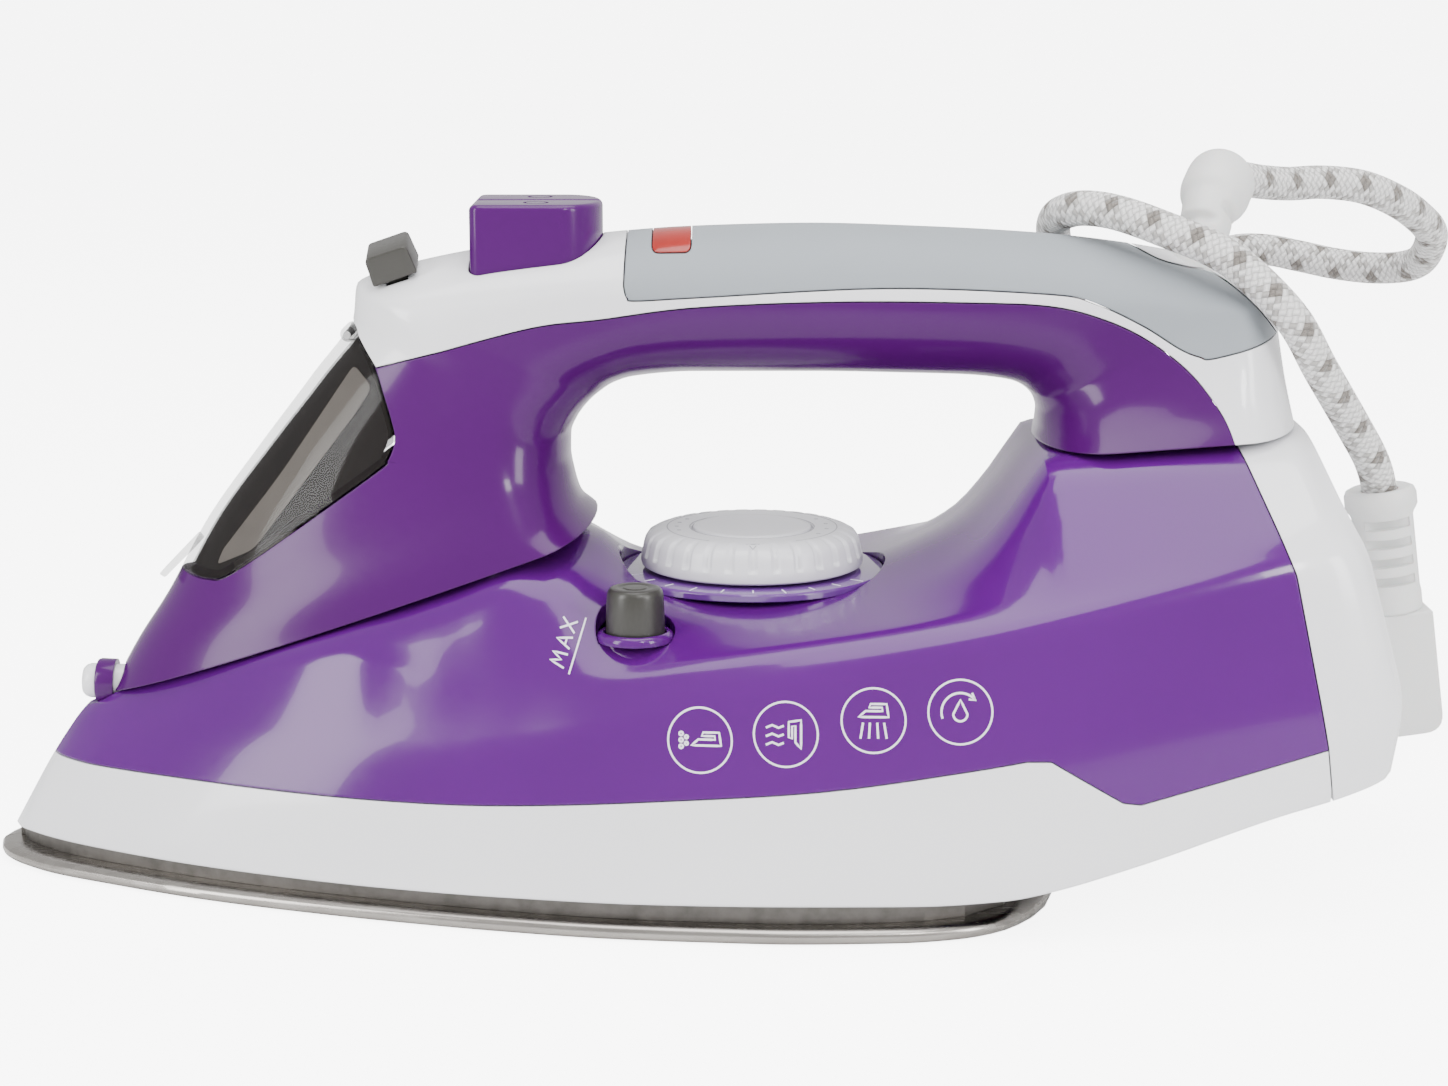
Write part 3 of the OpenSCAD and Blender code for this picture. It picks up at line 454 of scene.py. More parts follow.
def stands_for(obj, *nodes, angle=32.0):
    """Finish, body and CAD nodes of a piece that takes their place."""
    dress(obj, SLOT_OF[nodes[0]], angle)
    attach(obj, BODY_OF[nodes[0]])
    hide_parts(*nodes)
    return obj


# ---------------------------------------------------------------- curves
def curve(table, x):
    """Smooth curve through given points, without overshoot."""
    px, py = np.array(table, float).T
    x = np.asarray(x, float)
    rise = np.diff(py) / np.diff(px)
    slope = np.concatenate([[rise[0]], np.zeros(len(px) - 2), [rise[-1]]])
    s, t = rise[:-1], rise[1:]
    same = s * t > 0
    slope[1:-1][same] = 2 * s[same] * t[same] / (s[same] + t[same])
    i = np.clip(np.searchsorted(px, x, side="right") - 1, 0, len(px) - 2)
    h = px[i + 1] - px[i]
    t = np.clip((x - px[i]) / h, 0, 1)
    return ((2 * t**3 - 3 * t**2 + 1) * py[i] + (t**3 - 2 * t**2 + t) * h * slope[i]
            + (3 * t**2 - 2 * t**3) * py[i + 1] + (t**3 - t**2) * h * slope[i + 1])


def spline(points, steps):
    """Catmull-Rom curve through points of any dimension."""
    p = np.array(points, float)
    out = []
    for i in range(len(p) - 1):
        a, b, c, d = p[max(0, i - 1)], p[i], p[i + 1], p[min(len(p) - 1, i + 2)]
        for t in np.arange(steps) / steps:
            out.append(0.5 * (2 * b + (c - a) * t + (2 * a - 5 * b + 4 * c - d) * t**2
                              + (3 * b - a - 3 * c + d) * t**3))
    return out + [p[-1]]


def smooth_line(points, corners=(), steps=8):
    """Side-view line that is smooth except at the points whose numbers are corners."""
    stops = [0, *corners, len(points) - 1]
    line = []
    for a, b in zip(stops, stops[1:]):
        if b > a:
            line += [tuple(p) for p in spline(points[a:b + 1], steps)][:-1]
    return line + [tuple(points[-1])]


def shifted(line, dx, dz):
    return [(x + dx, z + dz) for x, z in line]


# ---------------------------------------------------------------- lower body
# Levels of the body from the bottom edge up to the centreline: rows of x, half width, height
BOTTOM = [
    (-139.2, 1.2, 6.2), (-137.5, 5, 6.2), (-134, 9, 6.3), (-128, 14, 6.3), (-119.3, 20, 6.4),
    (-97.3, 32, 6.5), (-76.3, 41, 6.6), (-56.3, 48, 6.7), (-33.3, 54, 6.8), (-4.3, 59, 6.9),
    (24.7, 61, 7.1), (47.7, 61.3, 7.3), (64.4, 60.6, 8.2), (72.4, 60, 9.6), (89.2, 58.3, 14.2),
    (117.2, 55, 23.3), (127.9, 53.3, 26.1), (134, 51.5, 27.8), (138, 49, 28.9), (140.2, 45, 29.4),
]
SEAM = [
    (-130.6, 1.2, 21.7), (-128.5, 4.6, 21.9), (-124.5, 9, 22.3), (-119.1, 13.8, 22.7),
    (-97.2, 27.5, 23), (-76.3, 37.6, 23.2), (-56.3, 44.8, 23.6), (-33.3, 50.8, 24.4),
    (-4.3, 55.8, 26.6), (30.1, 58.2, 29.4), (71.1, 57.8, 35), (100, 56.4, 39), (127.9, 53.6, 42),
    (136, 51.4, 43), (140.6, 49, 43.4), (142.5, 45, 43.5),
]
LOW_CREASE = [
    (-124.2, 1.2, 31), (-122.6, 3.4, 31.1), (-118.5, 7.4, 31.3), (-113, 12, 31.4),
    (-94.9, 25, 31.8), (-73.4, 36, 31.7), (-53.2, 43.4, 32.4), (-33.3, 48.4, 35),
    (-13.7, 51.6, 39.8), (5.6, 53.3, 45.1), (43.8, 54.2, 54.9), (81.9, 52.6, 63.3),
    (118.1, 50, 70.5), (126, 48.6, 71.6), (132, 46, 72.2), (135, 41, 72.4),
]
HIGH_CREASE = [
    (-120.4, 1.1, 34), (-117.6, 4, 35), (-109, 10, 37.6), (-98.8, 15.5, 41), (-80, 24.6, 47.2),
    (-71, 28.4, 49.6), (-64.1, 31, 50.2), (-55, 35, 47.2), (-47.5, 38.2, 45.5), (-38, 41, 45),
    (-29.6, 43, 45.4), (-13.8, 46, 47.9), (5.6, 48, 52.2), (43.8, 49, 59.1), (63.1, 48.6, 62.6),
    (90, 47.2, 69.4), (113.9, 45.4, 75.9), (124, 43.4, 79), (130.6, 36, 81),
]
DECK = [
    (-118.6, 1, 34.7), (-114, 5, 36.4), (-98.8, 14, 42.1), (-71, 24, 52.4), (-44.1, 29, 62.3),
    (-30, 30, 67), (-22, 29.6, 66.5), (-14, 29, 62.4), (-6, 28.6, 59.6), (6, 28.6, 58.4),
    (16, 28.8, 58.2), (40, 29.2, 60), (52, 29.4, 63.8), (60, 29.5, 69), (66, 29.5, 76),
    (71, 29.5, 83.5), (74.4, 29.5, 88.1), (83.3, 29.5, 88.9), (110.7, 28.8, 90.9),
    (122, 26.6, 91.7), (127, 18, 92.1),
]
CENTRE = [
    (-118.5, 0, 34.8), (-98.8, 0, 42.1), (-71, 0, 52.4), (-44.1, 0, 62.3), (-24, 0, 69.4),
    (-17, 0, 69.8), (-13, 0, 67), (-9, 0, 63.6), (-3, 0, 61.2), (16, 0, 60.6), (34, 0, 61),
    (42, 0, 63), (50, 0, 66.4), (59.1, 0, 71.4), (66.9, 0, 79.8), (72, 0, 86.4), (75.5, 0, 88.5),
    (95, 0, 90), (127.2, 0, 92.2),
]
LEVELS = [BOTTOM, SEAM, LOW_CREASE, HIGH_CREASE, DECK, CENTRE]
ROUNDING = [0.8, 6, 3.2, 2.6, 7, 9]      # how far before and after each level the section turns
WALL = 2.2


def level_points(k, s, inset):
    """Points of level k at stations s from the nose, 0, to the rear, 1."""
    table = LEVELS[k]
    first, last = table[0][0], table[-1][0]
    x = first + (last - first) * (1 - np.cos(np.pi * s)) / 2
    y = curve([(row[0], row[1]) for row in table], x) - inset
    y = np.maximum(0 if k == 5 else 0.6, y)
    z = curve([(row[0], row[2]) for row in table], x)
    z = z - (inset * 6 if k == 0 else 0 if k == 1 else inset)
    return np.stack([x + inset * 1.6 * (1 - 2 * s), y, z], axis=-1)


def turned(before, corner, after, reach, steps=6):
    """Points round a corner of a polyline."""
    to_before, to_after = before - corner, after - corner
    a = min(reach, 0.46 * np.linalg.norm(to_before))
    b = min(reach, 0.46 * np.linalg.norm(to_after))
    start = corner + to_before / max(1e-9, np.linalg.norm(to_before)) * a
    stop = corner + to_after / max(1e-9, np.linalg.norm(to_after)) * b
    return [(1 - t) ** 2 * start + 2 * t * (1 - t) * corner + t * t * stop
            for t in np.linspace(0, 1, steps)]


def lower_rings(inset, stations=150):
    s = np.linspace(0, 1, stations)
    levels = np.array([level_points(k, s, inset) for k in range(6)])
    rings = []
    for i in range(stations):
        half = levels[:, i]
        mirror = half * (1, -1, 1)
        corners = [*mirror[:5], half[5], *half[4::-1]]
        reaches = [*ROUNDING[:5], ROUNDING[5], *ROUNDING[4::-1]]
        ring = []
        for k, corner in enumerate(corners):
            before = corners[k - 1]
            after = corners[(k + 1) % len(corners)]
            ring += turned(before, corner, after, reaches[k])
            gap = np.array(turned(corner, after, corners[(k + 2) % len(corners)],
                                  reaches[(k + 1) % len(corners)])[0]) - ring[-1]
            ring += [ring[-1] + gap * q for q in (0.33, 0.67)]
        rings.append(ring)
    return rings


def lower_body(name, inset=0.0):
    rings = lower_rings(inset)
    last = len(rings[0]) - 3
    # the ends in flat strips from side to side, as the rear face is hollow
    strips = [(k, k + 1, last - 1 - k, last - k) for k in range(last // 2)]
    strips.append((0, last, last + 1, last + 2))
    return loft(name, rings, strips=strips)


# ---------------------------------------------------------------- handle
# Sections round the finger hole: inner x, z, outer x, z, half width, inner and outer rounding
HANDLE = [
    (-16, 72.9, -118.1, 35.1, 30.5, 0.10, 1.00),
    (-19, 76, -112, 46, 29, 0.14, 1.00),
    (-20.6, 81, -105.4, 56, 26.5, 0.18, 0.98),
    (-21.3, 85.5, -96.6, 71.6, 23.5, 0.22, 0.92),
    (-21.2, 89.5, -85.4, 86.9, 21.3, 0.25, 0.80),
    (-19.8, 93, -74.4, 101.2, 20, 0.27, 0.62),
    (-17.3, 96.3, -65.4, 113.6, 19.4, 0.28, 0.46),
    (-15, 98.3, -64.6, 120, 19.2, 0.30, 0.38),
    (-12.6, 99.9, -45, 126.2, 19, 0.34, 0.36),
    (-11, 100.6, -26, 129, 18.8, 0.38, 0.36),
    (-9, 101.2, -9, 130.9, 18.5, 0.42, 0.40),
    (4, 102.3, 4.2, 131.8, 18, 0.46, 0.46),
    (28, 102.3, 27.9, 132.4, 17.7, 0.48, 0.50),
    (46, 102, 51.6, 131.7, 17.6, 0.48, 0.50),
    (60, 101.6, 75.4, 130.3, 17.7, 0.46, 0.46),
    (69, 100.4, 98, 127.4, 18, 0.42, 0.38),
    (72, 98.8, 111, 124.2, 18.6, 0.38, 0.30),
    (73.6, 96.8, 121.2, 120.4, 19.4, 0.34, 0.22),
    (74.3, 94.2, 122.8, 112, 21.2, 0.30, 0.22),
    (74.2, 91.4, 124.6, 101.6, 25, 0.27, 0.24),
    (73.8, 88.9, 126.6, 92.8, 29.6, 0.25, 0.26),
]


def rounded(q, n):
    return (1 - (1 - np.clip(q, 0, 1)) ** n) ** (1 / n)


def handle_rings(inset, steps=190, half_count=36):
    turns = len(HANDLE) - 1
    angle = np.pi * np.arange(2 * half_count) / half_count
    r = (1 - np.cos(angle)) / 2
    side = np.where(angle < np.pi, -1, 1)
    rings = []
    for i in range(steps + 1):
        t = turns * i / steps
        row = [float(curve([(j, h[k]) for j, h in enumerate(HANDLE)], t)) for k in range(7)]
        inner, outer = np.array(row[0:2]), np.array(row[2:4])
        reach = np.linalg.norm(outer - inner)
        width = row[4] - inset
        y = side * width * rounded(r / row[5], 2.1) * rounded((1 - r) / row[6], 1.9)
        d = inset / reach + r * (1 - 2 * inset / reach)
        p = inner + (outer - inner) * d[:, None]
        lift = (0.4, -1.2) if inset and i == 0 else (0, -1.2) if inset and i == steps else (0, 0)
        rings.append([(a + lift[0], b, c + lift[1]) for a, b, c in zip(p[:, 0], y, p[:, 1])])
    return rings


def handle_body(name, inset=0.0):
    return loft(name, handle_rings(inset))


# ---------------------------------------------------------------- seams in the side view
LID_LINE = [
    (-75, 119), (-66.5, 112.6), (-62.6, 108.6), (-59.9, 104.4), (-58.2, 99.5), (-56.7, 94.7),
    (-56, 90.8), (-57.4, 86.8), (-60.1, 84.1), (-82.9, 67.6), (-91.4, 61.9), (-95.3, 61),
    (-100.4, 61.4), (-112, 64),
]
COVER_LINE = [
    (-66, 114.4), (-64, 111.1), (-59.4, 104.8), (-47, 108.3), (-27.8, 113.3), (-14.4, 114.9),
    (4.3, 117.2), (32.3, 118.3), (60.2, 118.1), (74.3, 117.5), (83.6, 115.5), (93.1, 111.5),
    (102.3, 104.8), (108.4, 96.8), (110.9, 90),
]
GRIP_LINE = [
    (-9, 140), (-9.7, 121.5), (-9, 119.2), (-7.2, 118.6), (5.4, 119.2), (41.7, 120.9),
    (74.3, 119.8), (83.7, 118), (93.3, 113.6), (100.3, 109.3), (104.3, 107.7), (107.6, 107.5),
    (121.4, 111.3), (114.7, 118.5), (108.4, 123.2), (102.8, 124.5), (97.5, 125.9),
    (92, 128.6), (87, 140),
]
SKIRT_LINE = [
    (-150, 21.7), (-130.4, 21.7), (-97.2, 23), (-56.3, 23.6), (-33.3, 24.4), (-4.3, 26.6),
    (30.1, 29.4), (55.6, 33), (68, 35.1), (72.6, 35.1), (86.5, 27), (90, 26.6), (127, 36.6),
]
REAR_LINE = [(110.9, 100), (111.3, 91.3), (119.5, 69.7), (126.1, 36.8), (128.2, 20)]
GAP = 0.14
lid_line = smooth_line(LID_LINE, (1, 9))
cover_line = smooth_line(COVER_LINE, (2,))
grip_line = smooth_line(GRIP_LINE, (1, 12, 17))
skirt_line = smooth_line(SKIRT_LINE, (8, 9, 10, 11))


def cover_area(name, dz=0.0):
    return prism(name, shifted(cover_line, 0, dz) + [(150, 90 + dz), (150, 150), (-66, 150)])


def rear_area(name, dx=0.0):
    return prism(name, shifted(REAR_LINE, dx, 0) + [(165, 20), (165, 100)])


def shell_pieces():
    outer, inner = lower_body("outer"), lower_body("inner", WALL)
    cut(inner, prism("nose_wall", [(-125, -10), (-125, 120), (200, 120), (200, -10)]), "INTERSECT")
    cut(inner, upright("pad", 33, 57, 90, DIAL_X, 0, 128))
    shell = cut(outer, inner)
    skirt = copy(shell, "skirt_shell")
    tank = copy(shell, "tank_shell")
    rear = shell
    rear.name = "rear_shell"
    low = shifted(skirt_line, 0, -GAP)
    cut(skirt, prism("below", low + [(127, 0), (-150, 0)]), "INTERSECT")
    cut(skirt, rear_area("behind", -GAP))
    high = shifted(skirt_line, 0, GAP)
    cut(tank, prism("above", high + [(127, 100), (-150, 100)]), "INTERSECT")
    cut(tank, rear_area("behind", -GAP))
    cut(rear, rear_area("rear_part", GAP), "INTERSECT")
    stands_for(skirt, "skirt")
    stands_for(rear, "rear_cover")
    return tank


def offset_line(line, d):
    """Closed outline moved outwards by d."""
    p = np.array(line, float)
    area = 0.5 * np.sum(p[:, 0] * np.roll(p[:, 1], -1) - np.roll(p[:, 0], -1) * p[:, 1])
    ahead = np.roll(p, -1, 0) - p
    behind = p - np.roll(p, 1, 0)
    ahead /= np.maximum(1e-9, np.linalg.norm(ahead, axis=1))[:, None]
    behind /= np.maximum(1e-9, np.linalg.norm(behind, axis=1))[:, None]
    way = ahead + behind
    way /= np.maximum(0.3, np.linalg.norm(way, axis=1))[:, None]
    out = np.stack([way[:, 1], -way[:, 0]], axis=1) * (1 if area > 0 else -1)
    return [tuple(q) for q in p + out * d]


HINGE = (-66.2, 110.2)
HINGE_RELIEF = 2.7


def across(name, radius, length, place, turns=48, middle=0.0):
    """Cylinder along Y at a place in the side view."""
    ring = [(place[0] + radius * math.cos(2 * math.pi * i / turns),
             place[1] + radius * math.sin(2 * math.pi * i / turns)) for i in range(turns)]
    return prism(name, ring, length / 2, middle)


def key_half(side, shrink, gap):
    """Outline of one push button seen from above: a small corner in front, round at the back."""
    reach, half, corner = 8.6 - shrink, 13.8 - shrink, max(0.5, 2.2 - shrink)
    start = math.asin((gap / half) ** (1 / 0.9))
    back = [(-23 + reach * abs(math.cos(a)) ** 0.9, half * math.sin(a) ** 0.9)
            for a in np.linspace(start, math.pi / 2, 25)]
    front = [(-40.6 + shrink + corner - corner * math.cos(a), half - corner + corner * math.sin(a))
             for a in np.linspace(math.pi / 2, 0, 8)]
    return [(x, side * y) for x, y in back + front + [(-40.6 + shrink, gap)]]


def key_plan(grow):
    """Outline of both push buttons together."""
    near = key_half(1, -grow, 0)
    return near + [(x, -y) for x, y in near[-2:0:-1]]


def column(name, outline, low, high):
    """Upright prism over an outline seen from above, [x, y]."""
    return loft(name, [[(x, y, z) for x, y in outline] for z in (low, high)])


LENS_LINE = [(-4.1, 140), (-4.1, 127.6), (3.5, 127.7), (3.5, 140)]
BAND_LINE = [
    (-64.6, 104.6), (-60.6, 100.8), (-63.2, 96.4), (-85.5, 67.2), (-93.6, 63.4), (-92.4, 66.4),
    (-80, 82.2),
]


def layer(name, outside, inside, outline):
    """Thin layer inside the handle's skin, cut out in the side view."""
    sheet = cut(handle_body(name, outside), handle_body("inner", inside))
    return cut(sheet, prism("outline", outline), "INTERSECT")


def handle_pieces():
    outer, inner = handle_body("outer"), handle_body("inner", WALL)
    skin = cut(outer, inner)
    shell = copy(skin, "handle_upper")
    cover = copy(skin, "top_trim")
    grip = copy(skin, "grip_inlay")
    lid = skin
    lid.name = "water_lid"
    cut(shell, cover_area("cover", -GAP))
    cut(shell, prism("lid", offset_line(lid_line, 0.45)))
    cut(shell, across("relief", HINGE_RELIEF, 120, HINGE))
    cut(shell, prism("corner", [(-70, 111), (-62, 111), (-62, 119), (-70, 119)], 20))
    cut(cover, cover_area("cover", GAP), "INTERSECT")
    cut(cover, prism("grip", offset_line(grip_line, GAP)))
    cut(cover, column("buttons", key_plan(0.3), 105, 145))
    cut(cover, across("relief", HINGE_RELIEF, 60, HINGE))
    cut(grip, prism("grip", offset_line(grip_line, -GAP)), "INTERSECT")
    lens_line = rounded_outline(LENS_LINE, (0.5, 1.3, 1.3, 0.5))
    lens = copy(skin, "pilot_window")
    cut(lens, prism("lens", lens_line), "INTERSECT")
    cut(grip, prism("lens_room", offset_line(lens_line, 0.25)))
    cut(lid, prism("lid", lid_line), "INTERSECT")
    return shell, cover, grip, lid, lens


# ---------------------------------------------------------------- cord
RISE = [
    (113.2, 13.8, 139.7), (117, 18.6, 140), (123, 24, 138.8), (130, 29, 138), (138, 33, 138),
    (147, 37, 136.8), (155, 42, 133.8), (162, 49, 129.8), (167.6, 57, 124.8), (168.4, 66, 118.8),
    (166, 71.4, 116), (159.6, 76, 115), (151.5, 79, 115.6), (143, 80, 117.3), (135, 80, 118.8),
    (127, 79, 118.6), (118.5, 78, 115), (111, 77, 107.5), (106, 76.5, 97), (103.5, 77, 84),
    (102.5, 79, 70), (102.5, 82, 56), (103.5, 87, 41), (105.6, 95, 28), (107.6, 106, 18.5),
    (109.2, 118, 12.8), (109, 132.4, 10.9),
]
DROP = [
    (71.5, 96.6, 3.7), (81, 96.6, 4.6), (89.4, 93, 10), (93.6, 86, 20), (94.6, 77.5, 34),
    (93.6, 68, 56), (91.6, 58, 79), (88.4, 46, 100), (83, 32, 118), (79, 17.4, 130),
    (81, 3, 134.8), (88, -5, 135.2), (98, -12, 132.2), (110.4, -17, 126.8), (122, -19.8, 116),
    (129.6, -15, 104.4), (138, -8, 92), (143, -4, 84), (145.6, -1, 77),
]
CORD_D = 7.2
COIL_AT = (66, 140)
COIL_RADII = (43.7, 36.3, 36.3, 43.7)     # one value for each turn
COIL_LEVELS = (10.9, 10.9, 3.7, 3.7)
COIL_START = -10.0
COIL_TURNED = 3.8 * 360 - 0.8
PLUG_TOP = (145.6, -1, 77)
PLUG_LEAN = math.radians(172)


def coil_point(turned_by):
    """A point of the coil; the lead moves to the next place over the end of each turn."""
    i = min(3, int(turned_by // 360))
    part = (turned_by % 360) / 360 if turned_by < 1440 else 1.0
    t = min(1, max(0, (part - 0.86) / 0.14)) if i < 3 else 0
    t = t * t * (3 - 2 * t)
    j = min(3, i + 1)
    r = COIL_RADII[i] * (1 - t) + COIL_RADII[j] * t
    z = COIL_LEVELS[i] * (1 - t) + COIL_LEVELS[j] * t
    a = math.radians(COIL_START + turned_by)
    return COIL_AT[0] + r * math.cos(a), COIL_AT[1] + r * math.sin(a), z


def plug_place(x, y, z):
    """Place in the plug's own frame, z along its axis, to a place in the frame."""
    c, s = math.cos(PLUG_LEAN), math.sin(PLUG_LEAN)
    return PLUG_TOP[0] + x * c + z * s, PLUG_TOP[1] + y, PLUG_TOP[2] - x * s + z * c


def cord_path():
    coil = [coil_point(q) for q in np.arange(6, COIL_TURNED - 4, 6)]
    inside = [plug_place(0, 0, z) for z in (8, 16, 24)]
    return spline(RISE, 6) + [np.array(p) for p in coil] + spline(DROP + inside, 6)


def sweep_frames(path):
    """Points of a path with two directions across it that turn as little as they can."""
    p = np.array(path, float)
    ahead = np.gradient(p, axis=0)
    ahead /= np.linalg.norm(ahead, axis=1)[:, None]
    up = np.array((0.0, 1.0, 0.3))
    out = []
    for point, way in zip(p, ahead):
        up = up - way * np.dot(up, way)
        up /= np.linalg.norm(up)
        out.append((point, up, np.cross(way, up)))
    return out


def cord():
    path = [np.array(p, float) for p in cord_path()]
    lean = [path[0]]
    for p in path[1:]:
        if np.linalg.norm(p - lean[-1]) > 0.8:
            lean.append(p)
    sides = 24
    frames = sweep_frames(lean)
    rings = [[p + CORD_D / 2 * (u * math.cos(2 * math.pi * k / sides) + v * math.sin(2 * math.pi * k / sides))
              for k in range(sides)] for p, u, v in frames]
    n, m = sides, len(rings)
    points = [q for ring in rings for q in ring]
    faces = [(i * n + k, i * n + (k + 1) % n, (i + 1) * n + (k + 1) % n, (i + 1) * n + k)
             for i in range(m - 1) for k in range(n)]
    caps = [tuple(range(n))[::-1], tuple((m - 1) * n + k for k in range(n))]
    obj = new_object("mains_lead", points, faces + caps)
    run = np.concatenate([[0], np.cumsum(np.linalg.norm(np.diff(np.array(lean), axis=0), axis=1))])
    layer = obj.data.uv_layers.new(name="braid")
    for f, face in enumerate(obj.data.polygons):
        for j, corner in enumerate(face.loop_indices):
            vertex = obj.data.loops[corner].vertex_index
            i, k = divmod(vertex, n)
            if f < len(faces) and f % n == n - 1 and k == 0:
                k = n
            layer.data[corner].uv = (k / n, run[i])
    stands_for(obj, "cord_rise", "cord_coil", "cord_drop")
    return obj, lean


def horn(name, path, width):
    """Round body along a path; width(place from 0 to 1, angle) is the radius."""
    frames = sweep_frames(path)
    sides = 64
    rings = []
    for i, (p, u, v) in enumerate(frames):
        ring = []
        for k in range(sides):
            a = 2 * math.pi * k / sides
            ring.append(p + width(i / (len(frames) - 1), a) * (u * math.cos(a) + v * math.sin(a)))
        rings.append(ring)
    return loft(name, rings)


GUARD = [
    (103.8, -2, 117.5), (105.4, -1.6, 122), (106.8, -0.2, 127), (108.4, 3, 131.8), (110.4, 7.4, 136),
    (112.4, 12, 139), (113.2, 13.8, 139.7),
]
GUARD_RADII = [
    (0, 7.2), (0.17, 7.3), (0.24, 6.2), (0.30, 5.5), (0.50, 5.3), (0.62, 5.8), (0.69, 6.9),
    (0.74, 7.2), (0.93, 7.2), (0.97, 6.8), (1.0, 5.4),
]


def guard():
    def radius(s, a):
        r = float(curve(GUARD_RADII, s))
        for place, turn in ((0.36, -1.2), (0.46, 1.6), (0.56, -1.2)):
            near = max(0.0, 1 - abs(s - place) / 0.035)
            facing = max(0.0, math.cos(a - turn) + 0.25)
            r -= 1.5 * min(1, 1.6 * near) * min(1, 1.8 * facing)
        return r
    obj = horn("lead_boot", spline(GUARD, 18), radius)
    return stands_for(obj, "cord_guard", angle=60)


def plug():
    relief = lathe("plug_sleeve", [
        (3.8, -0.6), (6.2, -1.0), (7.0, -0.6), (7.4, 0.4), (7.4, 2.8), (7.0, 3.6), (6.6, 4.2), (6.3, 5),
        (6.3, 20), (6.5, 21.4), (6.5, 24.6), (6.2, 25), (3.8, 25),
    ])
    for i in range(4):
        for side in (-1, 1):
            low, high = 5.0 + 4 * i, 6.9 + 4 * i
            outline = [(-4.6, low), (4.6, low), (4.6, high), (-4.6, high)]
            cut(relief, prism("slot", outline, 2.8, side * 6.9))
    body = prism("plug_grip", rounded_outline(
        [(-7.4, 25), (7.4, 25), (7.4, 51), (-7.4, 51)], (0.6, 0.6, 5.5, 4.0)), 12, 6)
    bevel(body, 2.2, 4)
    pins = [across_y("pin", 2.35, (0, z), 17.8, 36) for z in (28.5, 47.5)]
    for obj in (relief, body, *pins):
        placed(obj, plug_place)
    pin = join("plug_contacts", pins)
    stands_for(relief, "plug_relief")
    stands_for(body, "plug_body")
    stands_for(pin, "plug_pins")
    return relief, body, pin


def across_y(name, radius, place, start, stop):
    """Pin along Y with a rounded tip."""
    rings = []
    for y, r in ((start, radius), (stop - 1.6, radius), (stop - 0.7, radius * 0.86), (stop, radius * 0.5)):
        rings.append([(place[0] + r * math.cos(2 * math.pi * i / 40), y,
                       place[1] + r * math.sin(2 * math.pi * i / 40)) for i in range(40)])
    return loft(name, rings)


def rounded_outline(corners, radii):
    """Closed outline with rounded corners."""
    p = [np.array(c, float) for c in corners]
    out = []
    for i, r in enumerate(radii):
        out += [tuple(q) for q in turned(p[i - 1], p[i], p[(i + 1) % len(p)], r, 7)]
    return out


def join(name, parts):
    bpy.ops.object.select_all(action="DESELECT")
    for part in parts:
        part.select_set(True)
    bpy.context.view_layer.objects.active = parts[0]
    bpy.ops.object.join()
    parts[0].name = name
    return parts[0]


def coil_tie():
    """Band round the coil's section at its outer side."""
    centre = (COIL_AT[0] + 40, COIL_AT[1])
    outer = rounded_outline([(-8.5, 0.2), (8.5, 0.2), (8.5, 15.9), (-8.5, 15.9)], (2.5,) * 4)
    inner = rounded_outline([(-7.5, 0.25), (7.5, 0.25), (7.5, 14.9), (-7.5, 14.9)], (1.8,) * 4)
    band = prism("band", [(centre[0] + x, z) for x, z in outer], 4, centre[1])
    hole = prism("hole", [(centre[0] + x, z) for x, z in inner], 6, centre[1])
    cut(band, hole)
    band.name = "lead_tie"
    return stands_for(band, "cord_tie")


lead, lead_path = cord()
boot = guard()
plug_parts = plug()
tie = coil_tie()


# ---------------------------------------------------------------- controls
def upright(name, radius, low, high, x, y, turns=64):
    return lathe(name, [(0.01, low), (radius, low), (radius, high), (0.01, high)], turns, (x, y, 0))


DIAL_X = 16
CLEAN_AT = (-7.2, -36)
RING_SEAT = 59.4
PUMP_X = -33
PUMP_Y = 8.2
tank = shell_pieces()
handle_upper, top_trim, grip, lid, lens = handle_pieces()


def finish_tank():
    cut(tank, upright("recess", 27.7, RING_SEAT, 90, DIAL_X, 0, 128))
    cut(tank, upright("pocket", 7.8, 53.8, 90, *CLEAN_AT))
    stands_for(tank, "water_tank")
    tank.name = "tank_body"


